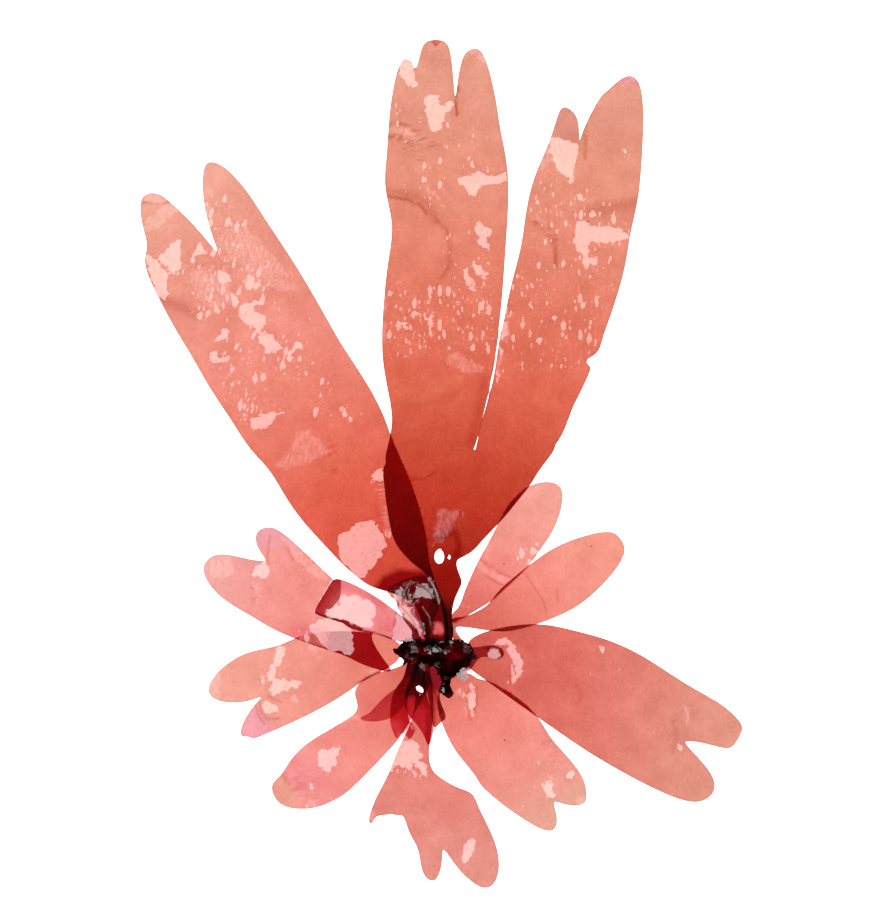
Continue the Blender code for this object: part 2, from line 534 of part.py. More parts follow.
def stub_crown(spots, loop):
    """The height of the broken stalk that lies below the holdfast."""
    rise = np.clip(distance_to(loop, spots) / STUB_SHOULDER, 0, 1)
    return STUB_RIM + (STUB_HEIGHT - STUB_RIM) * np.sqrt(rise)


def cut_points(root, side):
    """A cut across the frond as evenly spaced points, half of the seam to one side of it."""
    start, end = (np.array(point) for point in root)
    length = np.linalg.norm(end - start)
    offset = side * FORK_SEAM / 2 * np.array([start[1] - end[1], end[0] - start[0]]) / length
    shares = np.linspace(0, 1, round(length / MIDDLE_STEP) + 1)
    return start + offset + shares[:, None] * (end - start)


def lay_frond(name, points, step, colour, holes=(), thickness=BLADE_THICKNESS):
    """Lays a frond in one part, and then raises the surface over it."""
    surface.lay(*blade(name, points, step, colour, holes, thickness))


def forked_frond():
    """The tallest frond, in three parts that meet at its main fork."""
    below = np.vstack([cut_points(MIDDLE_LOBE_ROOT, -1), cut_points(RIGHT_LOBE_ROOT, -1)])
    base = cut_outline(below, FORKED_FROND_BASE, MIDDLE_STEP)
    middle = cut_outline(cut_points(MIDDLE_LOBE_ROOT, 1), FORKED_FROND_MIDDLE_LOBE, LARGE_STEP)
    right = cut_outline(cut_points(RIGHT_LOBE_ROOT, 1), FORKED_FROND_RIGHT_LOBE, LARGE_STEP)
    laid = [
        blade("forked_frond_base", base, MIDDLE_STEP, "base", holes=[ellipse(*FORKED_FROND_HOLE)]),
        blade("forked_frond_middle_lobe", middle, LARGE_STEP, "large"),
        blade("forked_frond_right_lobe", right, LARGE_STEP, "large"),
    ]
    for part in laid:
        surface.lay(*part)


for old in list(bpy.data.objects):
    bpy.data.objects.remove(old)

plant = bpy.data.collections.new("dulse")
bpy.context.scene.collection.children.link(plant)
surface = Surface()
HOLDFAST_CLEARANCE = grown(outline_of(HOLDFAST, SMALL_STEP), LAYER_GAP)

mound("holdfast", HOLDFAST, SMALL_STEP, "holdfast", holdfast_crown)
lay_frond("left_lower_frond", LEFT_LOWER_FROND, MIDDLE_STEP, "small")
lay_frond("lower_left_frond", LOWER_LEFT_FROND, MIDDLE_STEP, "small")
lay_frond("bottom_frond", BOTTOM_FROND, MIDDLE_STEP, "small")
lay_frond("lower_right_frond", LOWER_RIGHT_FROND, MIDDLE_STEP, "small")
lay_frond("right_frond", RIGHT_FROND, LARGE_STEP, "small")
lay_frond("left_upper_frond", LEFT_UPPER_FROND, MIDDLE_STEP, "small")
lay_frond("tall_left_frond", TALL_LEFT_FROND, LARGE_STEP, "large")
lay_frond("folded_left_frond", FOLDED_LEFT_FROND, MIDDLE_STEP, "small")
lay_frond("upper_right_inner_frond", UPPER_RIGHT_INNER_FROND, MIDDLE_STEP, "small")
lay_frond("upper_right_outer_frond", UPPER_RIGHT_OUTER_FROND, MIDDLE_STEP, "small")
forked_frond()
lay_frond("crumpled_leaflet", CRUMPLED_LEAFLET, SMALL_STEP, "dark")
lay_frond("wing_leaflet", WING_LEAFLET, SMALL_STEP, "dark")
lay_frond("narrow_leaflet", NARROW_LEAFLET, SMALL_STEP, "dark")
lay_frond("broad_leaflet", BROAD_LEAFLET, SMALL_STEP, "dark")
lay_frond("pointed_leaflet", POINTED_LEAFLET, SMALL_STEP, "dark", [ellipse(*POINTED_LEAFLET_HOLE)])
lay_frond("stalked_leaflet", STALKED_LEAFLET, SMALL_STEP, "dark", thickness=STALK_THICKNESS)
lay_frond("glossy_leaflet", GLOSSY_LEAFLET, SMALL_STEP, "small")
mound("stub", STUB, SMALL_STEP, "dark", stub_crown, surface)


def centre_plant():
    """Puts the middle of the plant's box at the origin, by an empty that carries every piece."""
    bpy.context.view_layer.update()
    graph = bpy.context.evaluated_depsgraph_get()
    corners = []
    for obj in plant.objects:
        shape = obj.evaluated_get(graph).to_mesh()
        corners += [corner.co.copy() for corner in shape.vertices]
    low = Vector([min(corner[axis] for corner in corners) for axis in range(3)])
    high = Vector([max(corner[axis] for corner in corners) for axis in range(3)])
    carrier = bpy.data.objects.new("plant_middle", None)
    for obj in list(plant.objects):
        obj.parent = carrier
    plant.objects.link(carrier)
    carrier.location = (-(low.x + high.x) / 2, -(low.y + high.y) / 2, -low.z)
    bpy.context.view_layer.update()


centre_plant()
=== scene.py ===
"""A wet dulse plant laid out on a lit table, seen from straight above.

Places on the plant are written in millimetres from the middle of its holdfast, X to the right and Y up the
tall fronds. HOLDFAST_MIDDLE says where that point lies in the model's own frame. Other lengths are in
millimetres too, unless the line beside them says otherwise.
"""

import json
import logging
import math
from dataclasses import dataclass
from enum import Enum

import bpy
import numpy as np
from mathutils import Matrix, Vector, noise
from mathutils.bvhtree import BVHTree
from mathutils.kdtree import KDTree

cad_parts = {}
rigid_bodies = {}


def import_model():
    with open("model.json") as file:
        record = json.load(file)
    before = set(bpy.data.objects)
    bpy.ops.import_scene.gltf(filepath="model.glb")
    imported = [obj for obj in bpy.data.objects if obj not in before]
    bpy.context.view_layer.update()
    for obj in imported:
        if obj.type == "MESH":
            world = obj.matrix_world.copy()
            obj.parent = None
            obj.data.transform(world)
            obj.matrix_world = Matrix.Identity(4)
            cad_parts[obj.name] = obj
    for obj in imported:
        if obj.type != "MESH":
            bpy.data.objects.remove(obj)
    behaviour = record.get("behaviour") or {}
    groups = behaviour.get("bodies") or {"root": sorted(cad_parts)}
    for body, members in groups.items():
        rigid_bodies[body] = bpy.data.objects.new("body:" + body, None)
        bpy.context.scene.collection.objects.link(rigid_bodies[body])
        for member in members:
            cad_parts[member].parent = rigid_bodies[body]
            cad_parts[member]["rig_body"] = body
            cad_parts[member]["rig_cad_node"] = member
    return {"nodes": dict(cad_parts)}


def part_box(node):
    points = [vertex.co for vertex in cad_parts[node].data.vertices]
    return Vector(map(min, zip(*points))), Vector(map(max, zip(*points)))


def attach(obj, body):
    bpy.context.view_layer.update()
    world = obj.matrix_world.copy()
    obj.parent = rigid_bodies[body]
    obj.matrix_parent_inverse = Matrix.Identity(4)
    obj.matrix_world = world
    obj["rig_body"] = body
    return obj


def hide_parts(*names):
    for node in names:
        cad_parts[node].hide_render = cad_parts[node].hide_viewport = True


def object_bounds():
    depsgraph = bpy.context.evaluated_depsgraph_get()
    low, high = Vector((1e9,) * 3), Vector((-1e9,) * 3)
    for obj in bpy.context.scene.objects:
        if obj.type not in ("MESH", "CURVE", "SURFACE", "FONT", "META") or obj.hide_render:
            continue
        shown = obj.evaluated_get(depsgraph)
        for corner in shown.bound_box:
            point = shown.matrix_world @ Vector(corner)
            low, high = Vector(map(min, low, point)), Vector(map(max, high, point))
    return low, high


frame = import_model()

LOG = logging.getLogger("dulse")
CAD_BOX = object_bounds()

MM = 0.001

# The middle of the holdfast in the model's own frame, in millimetres, and the distance from it at which the
# films' ramps of colour end.
HOLDFAST_MIDDLE = (1.1485, -66.912)
PLANT_REACH = 220.0

# How brightly the surface below the plant shines, and how strongly a wet place bends light.
SURFACE_LIGHT = 2.1
WET_IOR = 1.8

# A blade's face looks up where its normal is at least this high. Edges flatter than this angle are smoothed.
LOOKING_UP = 0.3
SMOOTH_ANGLE = math.radians(40)

# Points this near to a seam are joined where they lie no farther apart than the gap.
SEAM_REACH = 0.5
SEAM_GAP = 0.8

# The ripples' length and height. They start at CALM_REACH from the holdfast and grow over CALM_FADE.
RIPPLE_LENGTH = 17.0
RIPPLE_HEIGHT = 0.34
CALM_REACH = 14.0
CALM_FADE = 30.0

# Distances to a wet patch are told apart up to PATCH_REACH. An area of flecks thins out over FLECK_FADE.
PATCH_REACH = 5.0
FLECK_FADE = 4.0

# The hole worn through the leaflets below the holdfast and the fronds under them.
WORN_HOLE = ((-10.2, -10.8), (-9, -10.4), (-8, -11), (-7.4, -12.2), (-7.6, -13.4), (-8.7, -13.3),
             (-9.8, -12.2))

# The solids of the blades, from the lowest layer to the highest.
LAYERS = (
    "left_lower_frond",
    "lower_left_frond",
    "bottom_frond",
    "lower_right_frond",
    "right_frond",
    "left_upper_frond",
    "tall_left_frond",
    "folded_left_frond",
    "upper_right_inner_frond",
    "upper_right_outer_frond",
    "forked_frond_base",
    "forked_frond_middle_lobe",
    "forked_frond_right_lobe",
    "crumpled_leaflet",
    "wing_leaflet",
    "narrow_leaflet",
    "broad_leaflet",
    "pointed_leaflet",
    "stalked_leaflet",
    "glossy_leaflet",
)

Point = tuple[float, float]
Colour = tuple[float, float, float]


def linear(red: int, green: int, blue: int) -> Colour:
    """A display colour, each part 0 to 255, as linear light.

    Args:
        red: The red part.
        green: The green part.
        blue: The blue part.

    Returns:
        The three linear parts, 0 to 1.
    """
    parts = []
    for part in (red, green, blue):
        share = part / 255
        parts.append(share / 12.92 if share <= 0.04045 else ((share + 0.055) / 1.055) ** 2.4)
    return tuple(parts)


def through(red: int, green: int, blue: int) -> Colour:
    """What a blade lets through, from the colour that it shows over the lit surface.

    Args:
        red: The red part of the shown colour.
        green: The green part.
        blue: The blue part.

    Returns:
        The share of red, green and blue light that passes.
    """
    return tuple(part / SURFACE_LIGHT for part in linear(red, green, blue))


def signed_distance(spots: np.ndarray, corners: tuple[Point, ...]) -> np.ndarray:
    """How far each spot is inside a closed outline.

    Args:
        spots: The spots, one row each.
        corners: The outline's corners.

    Returns:
        The distance to the outline, negative outside it.
    """
    loop = np.array(corners, float)
    nearest = np.full(len(spots), np.inf)
    inside = np.zeros(len(spots), bool)
    for start, end in zip(loop, np.roll(loop, -1, axis=0)):
        along = end - start
        share = np.clip((spots - start) @ along / max(float(along @ along), 1e-9), 0, 1)
        nearest = np.minimum(nearest, np.linalg.norm(spots - start - share[:, None] * along, axis=1))
        crosses = (start[1] > spots[:, 1]) != (end[1] > spots[:, 1])
        rise = end[1] - start[1] if end[1] != start[1] else 1.0
        inside ^= crosses & (spots[:, 0] < start[0] + (spots[:, 1] - start[1]) * along[0] / rise)
    return np.where(inside, nearest, -nearest)


def nearest_on_path(spots: np.ndarray, points: tuple[Point, ...]) -> tuple[np.ndarray, np.ndarray]:
    """Finds the nearest place on an open path.

    Args:
        spots: The spots, one row each.
        points: The points that the path runs through.

    Returns:
        The distance of each spot from the path, and the nearest place on it.
    """
    distance = np.full(len(spots), np.inf)
    place = np.zeros_like(spots)
    for start, end in zip(np.array(points[:-1], float), np.array(points[1:], float)):
        along = end - start
        share = np.clip((spots - start) @ along / max(float(along @ along), 1e-9), 0, 1)
        here = start + share[:, None] * along
        away = np.linalg.norm(spots - here, axis=1)
        nearer = away < distance
        distance[nearer] = away[nearer]
        place[nearer] = here[nearer]
    return distance, place


def path_distance(spots: np.ndarray, points: tuple[Point, ...]) -> np.ndarray:
    """How far each spot is from an open path.

    Args:
        spots: The spots, one row each.
        points: The points that the path runs through.

    Returns:
        The distance of each spot from the path.
    """
    return nearest_on_path(spots, points)[0]


class Slot(Enum):
    """The record's material slots."""

    TALL_BLADE = "tall_blade"
    SHORT_BLADE = "short_blade"
    DARK_LEAFLET = "dark_leaflet"
    HOLDFAST = "holdfast"


class Gloss(Enum):
    """How a wet patch on a blade mirrors the light above it."""

    BRIGHT = "bright"
    SOFT = "soft"


@dataclass(frozen=True)
class Patch:
    """A wet patch on a blade.

    Attributes:
        corners: Its outline on the plant.
        gloss: How strongly it mirrors the light.
    """

    corners: tuple[Point, ...]
    gloss: Gloss = Gloss.BRIGHT


@dataclass(frozen=True)
class Flecks:
    """An area of a blade that is strewn with small wet flecks.

    Attributes:
        corners: Its outline on the plant.
        share: How densely the flecks lie: 0 is bare, and 1 or a little more is dense.
    """

    corners: tuple[Point, ...]
    share: float = 1.0


@dataclass(frozen=True)
class Crease:
    """A line along which a blade is creased.

    Attributes:
        points: The line on the plant.
        width: Half of the crease's width.
        rise: How far the blade stands up there.
        depth: How much darker the crease is, 0 to 1.
        shine: How strongly it mirrors the light, 0 to 1.
    """

    points: tuple[Point, ...]
    width: float = 0.8
    rise: float = 0.15
    depth: float = 0.6
    shine: float = 0.0


@dataclass(frozen=True)
class Tint:
    """An area where a blade's colour is multiplied: mostly where it lets through other shares of light than
    elsewhere, and at a few places a painted sheen or painted shade.

    Attributes:
        corners: Its outline on the plant.
        colour: What its colour is multiplied by.
        blur: The width over which it fades in.
        alone: Whether it takes the place of the blade's other changes of colour there.
    """

    corners: tuple[Point, ...]
    colour: Colour
    blur: float = 1.5
    alone: bool = False


@dataclass(frozen=True)
class Pull:
    """A place where a blade's margin is pulled out or pushed in.

    Attributes:
        at: The place on the plant.
        by: How far it moves.
        radius: How far round it the blade follows.
    """

    at: Point
    by: Point
    radius: float


@dataclass(frozen=True)
class Pinch:
    """A slit whose two margins lie close together.

    Attributes:
        points: The slit's middle line on the plant.
        amount: How far each margin moves towards it.
        radius: How far from it the blade follows.
    """

    points: tuple[Point, ...]
    amount: float
    radius: float


@dataclass(frozen=True)
class Fold:
    """A place where the blade's end is turned under, so that it lies double.

    Attributes:
        corners: The outline of the turned part, convex. The first two are the ends of one side of it.
        tint: What its colour is multiplied by.
        inner: What it is multiplied by away from that side, used where fade isn't 0.
        fade: The distance from that side over which tint turns into inner, or 0.
        drop: How far the turned part lies below the blade's upper side.
        thickness: How thick the turned part is.
    """

    corners: tuple[Point, ...]
    tint: Colour = (1.0, 0.12, 0.3)
    inner: Colour = (1.0, 1.0, 1.0)
    fade: float = 0.0
    drop: float = 0.38
    thickness: float = 0.2


class Shader:
    """Builds the nodes of one material."""

    def __init__(self, name: str) -> None:
        """Starts a material with one Principled shader.

        Args:
            name: The material's name.
        """
        self.material = bpy.data.materials.new(name)
        self.material.use_nodes = True
        self.tree = self.material.node_tree
        self.surface = self.tree.nodes["Principled BSDF"]

    def node(self, kind: str, **settings: object) -> bpy.types.Node:
        """Adds a node.

        Args:
            kind: The node's type.
            settings: The node's own options.

        Returns:
            The new node.
        """
        made = self.tree.nodes.new(kind)
        for option, value in settings.items():
            setattr(made, option, value)
        return made

    def plug(self, value: object, socket: bpy.types.NodeSocket) -> None:
        """Links an output to a socket, or sets the socket to a number or a colour.

        Args:
            value: The output, number or colour.
            socket: The socket that takes it.
        """
        if isinstance(value, bpy.types.NodeSocket):
            self.tree.links.new(value, socket)
        else:
            socket.default_value = value

    def sum(self, operation: str, *values: object, clamp: bool = False) -> bpy.types.NodeSocket:
        """One step of arithmetic.

        Args:
            operation: The Math node's operation.
            values: Its outputs or numbers.
            clamp: Whether the result is kept between 0 and 1.

        Returns:
            The result.
        """
        made = self.node("ShaderNodeMath", operation=operation, use_clamp=clamp)
        for value, socket in zip(values, made.inputs):
            self.plug(value, socket)
        return made.outputs[0]

    def spread(self, value: object, low: float, high: float, out_low: float,
               out_high: float) -> bpy.types.NodeSocket:
        """Turns one range of numbers smoothly into another.

        Args:
            value: The number that is turned.
            low: The start of its range.
            high: The end of its range.
            out_low: What the start becomes.
            out_high: What the end becomes.

        Returns:
            The result.
        """
        made = self.node("ShaderNodeMapRange", interpolation_type="SMOOTHSTEP")
        for number, socket in zip((value, low, high, out_low, out_high), made.inputs):
            self.plug(number, socket)
        return made.outputs[0]

    def attribute(self, name: str) -> bpy.types.NodeSocket:
        """The number that a piece's points carry under this name."""
        return self.node("ShaderNodeAttribute", attribute_name=name).outputs["Fac"]

    def place(self, length: float = 1.0, turn: float = 0.0) -> bpy.types.NodeSocket:
        """The place on the object in millimetres.

        Args:
            length: How many times longer than wide a pattern read at it becomes.
            turn: Which way it is longer, in degrees to the left of Y.

        Returns:
            The place.
        """
        mapping = self.node("ShaderNodeMapping", vector_type="TEXTURE")
        mapping.inputs["Scale"].default_value = (MM, length * MM, MM)
        mapping.inputs["Rotation"].default_value = (0, 0, math.radians(turn))
        self.tree.links.new(self.node("ShaderNodeTexCoord").outputs["Object"], mapping.inputs["Vector"])
        return mapping.outputs[0]

    def noise(self, grain: float, detail: float, place: bpy.types.NodeSocket) -> bpy.types.NodeSocket:
        """A cloudy pattern.

        Args:
            grain: The size of its grains in millimetres.
            detail: How many finer layers it has.
            place: The place that it is read at.

        Returns:
            The pattern, about 0 to 1.
        """
        made = self.node("ShaderNodeTexNoise")
        self.plug(place, made.inputs["Vector"])
        made.inputs["Scale"].default_value = 1 / grain
        made.inputs["Detail"].default_value = detail
        return made.outputs["Fac"]


@dataclass(frozen=True)
class Film:
    """The wet, see-through flesh of a blade.

    Attributes:
        name: The material's name.
        stops: Distances from the holdfast, each with what the blade lets through there.
        fleck_turn: Which way the flecks run, in degrees.
    """

    name: str
    stops: tuple[tuple[float, Colour], ...]
    fleck_turn: float = 0.0

    @classmethod
    def shown(cls, name: str, *stops: tuple[float, int, int, int], fleck_turn: float = 0.0) -> "Film":
        """A film given by the colours that it shows over the lit surface.

        Args:
            name: The material's name.
            stops: Distances from the holdfast, each with the red, green and blue shown there, 0 to 255.
            fleck_turn: Which way the flecks run, in degrees.

        Returns:
            The film.
        """
        return cls(name, tuple((distance, through(*shown)) for distance, *shown in stops), fleck_turn)

    def material(self) -> bpy.types.Material:
        """Builds the material.

        Returns:
            The material.
        """
        shader = Shader(self.name)
        place = shader.place()
        colour = self.flesh(shader, place)
        shader.plug(colour, shader.surface.inputs["Base Color"])
        shader.plug(self.gloss(shader, place), shader.surface.inputs["Coat Weight"])
        grain = shader.noise(0.9, 3, place)
        shader.plug(shader.spread(grain, 0.3, 0.7, 0.36, 0.5), shader.surface.inputs["Roughness"])
        bump = shader.node("ShaderNodeBump")
        bump.inputs["Strength"].default_value = 0.25
        bump.inputs["Distance"].default_value = 0.1 * MM
        shader.plug(grain, bump.inputs["Height"])
        shader.plug(bump.outputs[0], shader.surface.inputs["Normal"])
        for socket, value in (
            ("Transmission Weight", 0.985),
            ("IOR", 1.05),
            ("Specular IOR Level", 0.0),
            ("Coat Roughness", 0.03),
            ("Coat IOR", WET_IOR),
        ):
            shader.surface.inputs[socket].default_value = value
        return shader.material

    def flesh(self, shader: Shader, place: bpy.types.NodeSocket) -> bpy.types.NodeSocket:
        """The colour that passes through the blade: the more flesh, the deeper it is.

        Args:
            shader: The material's nodes.
            place: The place on the blade.

        Returns:
            The colour.
        """
        cloud = shader.noise(9, 4, place)
        ramp = shader.node("ShaderNodeValToRGB")
        while len(ramp.color_ramp.elements) < len(self.stops):
            ramp.color_ramp.elements.new(0.5)
        for element, (distance, tint) in zip(ramp.color_ramp.elements, self.stops):
            element.position = distance / PLANT_REACH
            element.color = (*tint, 1)
        drift = shader.sum("MULTIPLY_ADD", cloud, 0.08, -0.04)
        shader.plug(shader.sum("ADD", shader.attribute("reach"), drift), ramp.inputs[0])
        density = shader.attribute("fullness")
        # The three noises add 0.37 on average, which is taken off again below.
        for pattern, share in (
            (cloud, 0.34),
            (shader.noise(1.0, 4, place), 0.24),
            (shader.noise(0.5, 2, shader.place(7.0, self.fleck_turn)), 0.16),
            (shader.spread(shader.attribute("edge"), 0.0, 0.6, 1.0, 0.0), 0.12),
            (self.specks(shader, place), 1.6),
        ):
            density = shader.sum("MULTIPLY_ADD", pattern, share, density)
        thick = shader.node("ShaderNodeGamma")
        shader.plug(ramp.outputs[0], thick.inputs[0])
        shader.plug(shader.sum("SUBTRACT", density, 0.37), thick.inputs[1])
        # The tint attribute multiplies the colour: mostly flesh that lets through more or less, and at a few
        # places a painted sheen or painted shade.
        tinted = shader.node("ShaderNodeMix", data_type="RGBA", blend_type="MULTIPLY", clamp_result=True)
        tinted.inputs[0].default_value = 1.0
        shader.plug(thick.outputs[0], tinted.inputs[6])
        shader.plug(shader.node("ShaderNodeAttribute", attribute_name="tint").outputs["Color"],
                    tinted.inputs[7])
        return tinted.outputs[2]

    def specks(self, shader: Shader, place: bpy.types.NodeSocket) -> bpy.types.NodeSocket:
        """Small dark specks, well apart.

        Args:
            shader: The material's nodes.
            place: The place on the blade.

        Returns:
            How dark the speck is there, 0 between specks.
        """
        cells = shader.node("ShaderNodeTexVoronoi", feature="F1")
        shader.plug(place, cells.inputs["Vector"])
        cells.inputs["Scale"].default_value = 1 / 7.5
        split = shader.node("ShaderNodeSeparateColor")
        shader.plug(cells.outputs["Color"], split.inputs[0])
        size = shader.spread(split.outputs[0], 0.5, 1.0, 0.0, 0.055)
        return shader.spread(shader.sum("SUBTRACT", cells.outputs["Distance"], size), -0.03, 0.0, 0.8, 0.0)

    def gloss(self, shader: Shader, place: bpy.types.NodeSocket) -> bpy.types.NodeSocket:
        """Where the blade is wet enough to mirror the light above it.

        Args:
            shader: The material's nodes.
            place: The place on the blade.

        Returns:
            How strongly it mirrors, 0 to 1.
        """
        ragged = shader.sum("MULTIPLY_ADD", shader.noise(2.6, 6, place), 4.4, -2.2)
        bright = shader.spread(shader.sum("ADD", shader.attribute("wet"), ragged), -0.06, 0.1, 0.0, 1.0)
        soft = shader.spread(shader.sum("ADD", shader.attribute("damp"), ragged), -0.5, 0.7, 0.0, 0.38)
        strewn = shader.attribute("fleck")
        drops = shader.sum("MAXIMUM", self.drops(shader, 2.9, 0.36), self.drops(shader, 1.7, 0.3))
        streaks = shader.noise(0.6, 3, shader.place(3.0, self.fleck_turn))
        streaks = shader.spread(shader.sum("MULTIPLY_ADD", strewn, 0.17, streaks), 0.68, 0.84, 0.0, 0.3)
        grain = shader.noise(0.6, 3, shader.place(2.0, self.fleck_turn))
        broken = shader.spread(grain, 0.3, 0.46, 0.55, 1.0)
        combed = shader.noise(0.8, 3, shader.place(3.5, self.fleck_turn))
        soft = shader.sum("MULTIPLY", soft, shader.spread(combed, 0.4, 0.6, 0.4, 1.0))
        patch = shader.sum("MULTIPLY", shader.sum("MAXIMUM", bright, soft), broken)
        small = shader.sum("MAXIMUM", drops, streaks)
        lines = shader.sum("MULTIPLY", shader.attribute("shine"), broken)
        return shader.sum("MAXIMUM", shader.sum("MAXIMUM", patch, small), lines, clamp=True)

    def drops(self, shader: Shader, spacing: float, size: float) -> bpy.types.NodeSocket:
        """Small separate wet drops, about twice as long as wide.

        Args:
            shader: The material's nodes.
            spacing: The distance between drops, in millimetres.
            size: The radius of the largest drops, as a share of the distance.

        Returns:
            How strongly the drops mirror, 0 between them.
        """
        place = shader.place(2.1, self.fleck_turn)
        shifted = shader.node("ShaderNodeMix", data_type="VECTOR")
        shifted.inputs[0].default_value = 0.45
        wobble = shader.node("ShaderNodeTexNoise")
        shader.plug(place, wobble.inputs["Vector"])
        wobble.inputs["Scale"].default_value = 1.1
        wobble.inputs["Detail"].default_value = 1
        shader.plug(place, shifted.inputs[4])
        bent = shader.node("ShaderNodeVectorMath", operation="MULTIPLY_ADD")
        shader.plug(wobble.outputs["Color"], bent.inputs[0])
        bent.inputs[1].default_value = (2.4, 2.4, 0)
        shader.plug(place, bent.inputs[2])
        shader.plug(bent.outputs[0], shifted.inputs[5])
        cells = shader.node("ShaderNodeTexVoronoi", feature="F1", voronoi_dimensions="2D")
        shader.plug(shifted.outputs[1], cells.inputs["Vector"])
        cells.inputs["Scale"].default_value = 1 / spacing
        split = shader.node("ShaderNodeSeparateColor")
        shader.plug(cells.outputs["Color"], split.inputs[0])
        chance = shader.sum("MULTIPLY_ADD", shader.attribute("fleck"), 0.82, split.outputs[0])
        chance = shader.sum("ADD", chance, shader.sum("MULTIPLY_ADD", shader.noise(4.5, 1, place), 1.0, -0.5))
        radius = shader.spread(chance, 0.95, 1.6, 0.0, size)
        return shader.spread(shader.sum("SUBTRACT", radius, cells.outputs["Distance"]), 0.03, 0.08, 0.0, 0.85)


@dataclass(frozen=True)
class Core:
    """The dark, opaque, wet flesh of the holdfast and its broken stalk.

    Attributes:
        name: The material's name.
        dark: The colour of its hollows. Its colour follows the pattern of its bumps, darker where they sink:
            partly its own near-black flesh, partly painted shade in the hollows.
        light: The colour of its ridges, where the same pattern makes it paler.
    """

    name: str
    dark: Colour
    light: Colour

    def material(self) -> bpy.types.Material:
        """Builds the material.

        Returns:
            The material.
        """
        shader = Shader(self.name)
        place = shader.place()
        # The colour follows the same pattern as the bumps, darker in the hollows: its own dark red-black
        # mottling and painted shade together.
        cloud = shader.noise(3.2, 3, shader.place(2.0, 85))
        blend = shader.node("ShaderNodeMix", data_type="RGBA")
        shader.plug(shader.spread(cloud, 0.45, 0.8, 0.0, 1.0), blend.inputs[0])
        shader.plug((*self.dark, 1), blend.inputs[6])
        shader.plug((*self.light, 1), blend.inputs[7])
        shader.plug(blend.outputs[2], shader.surface.inputs["Base Color"])
        shader.plug(shader.spread(cloud, 0.3, 0.7, 0.3, 0.5), shader.surface.inputs["Roughness"])
        ragged = shader.sum("MULTIPLY_ADD", shader.noise(1.3, 3, shader.place(2.4, 85)), 3.4, -1.7)
        bright = shader.spread(shader.sum("ADD", shader.attribute("wet"), ragged), -0.1, 0.2, 0.0, 0.9)
        soft = shader.spread(shader.sum("ADD", shader.attribute("damp"), ragged), -0.3, 0.5, 0.0, 0.4)
        shader.plug(shader.sum("MAXIMUM", bright, soft, clamp=True), shader.surface.inputs["Coat Weight"])
        bump = shader.node("ShaderNodeBump")
        bump.inputs["Strength"].default_value = 0.6
        bump.inputs["Distance"].default_value = 0.3 * MM
        shader.plug(cloud, bump.inputs["Height"])
        shader.plug(bump.outputs[0], shader.surface.inputs["Normal"])
        for socket, value in (("Specular IOR Level", 0.0), ("Coat Roughness", 0.06), ("Coat IOR", WET_IOR)):
            shader.surface.inputs[socket].default_value = value
        return shader.material


def deselect() -> None:
    """Leaves nothing selected."""
    for obj in list(bpy.context.selected_objects):
        obj.select_set(False)


def choose(obj: bpy.types.Object) -> None:
    """Selects one object and makes it the active one.

    Args:
        obj: The object.
    """
    deselect()
    obj.select_set(True)
    bpy.context.view_layer.objects.active = obj


def apply(obj: bpy.types.Object, kind: str, **settings: object) -> None:
    """Adds a modifier to an object and applies it.

    Args:
        obj: The object.
        kind: The modifier's type.
        settings: The modifier's options.
    """
    choose(obj)
    bpy.ops.object.modifier_add(type=kind)
    modifier = obj.modifiers[-1]
    for option, value in settings.items():
        setattr(modifier, option, value)
    bpy.ops.object.modifier_apply(modifier=modifier.name)


def spots_of(obj: bpy.types.Object) -> np.ndarray:
    """The places of an object's points.

    Args:
        obj: The object.

    Returns:
        One row for each point, in metres.
    """
    flat = np.empty(len(obj.data.vertices) * 3)
    obj.data.vertices.foreach_get("co", flat)
    return flat.reshape(-1, 3)


def plan_of(obj: bpy.types.Object) -> np.ndarray:
    """The places of an object's points on the plant, in millimetres from the holdfast."""
    return spots_of(obj)[:, :2] / MM - np.array(HOLDFAST_MIDDLE)


def place_spots(obj: bpy.types.Object, spots: np.ndarray) -> None:
    """Moves an object's points.

    Args:
        obj: The object.
        spots: The new places, in metres.
    """
    obj.data.vertices.foreach_set("co", spots.astype(np.float32).ravel())
    obj.data.update()


def carry(obj: bpy.types.Object, name: str, values: np.ndarray) -> None:
    """Gives every point of an object a number.

    Args:
        obj: The object.
        name: What the number is called.
        values: The numbers.
    """
    attribute = obj.data.attributes.new(name, "FLOAT", "POINT")
    attribute.data.foreach_set("value", values.astype(np.float32))


def merged_copy(node: str, name: str) -> bpy.types.Object:
    """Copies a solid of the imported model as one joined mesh.

    Args:
        node: The solid's name.
        name: The copy's name.

    Returns:
        The copy.
    """
    choose(frame["nodes"][node])
    bpy.ops.object.duplicate()
    obj = bpy.context.view_layer.objects.active
    obj.name = name
    obj.data.name = name
    obj.parent = None
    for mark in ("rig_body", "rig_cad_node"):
        if mark in obj:
            del obj[mark]
    obj.data.materials.clear()
    bpy.ops.object.mode_set(mode="EDIT")
    bpy.ops.mesh.select_all(action="SELECT")
    bpy.ops.mesh.remove_doubles(threshold=0.01 * MM)
    bpy.ops.object.mode_set(mode="OBJECT")
    return obj


def carry_patches(obj: bpy.types.Object, plan: np.ndarray, patches: tuple[Patch, ...]) -> None:
    """Gives every point its distance inside the wet patches, bright and soft ones apart.

    Args:
        obj: The object.
        plan: The places of its points on the plant.
        patches: The patches.
    """
    for name, gloss in (("wet", Gloss.BRIGHT), ("damp", Gloss.SOFT)):
        deepest = np.full(len(plan), -PATCH_REACH)
        for patch in patches:
            if patch.gloss is gloss:
                deepest = np.maximum(deepest, signed_distance(plan, patch.corners))
        carry(obj, name, np.minimum(deepest, PATCH_REACH))


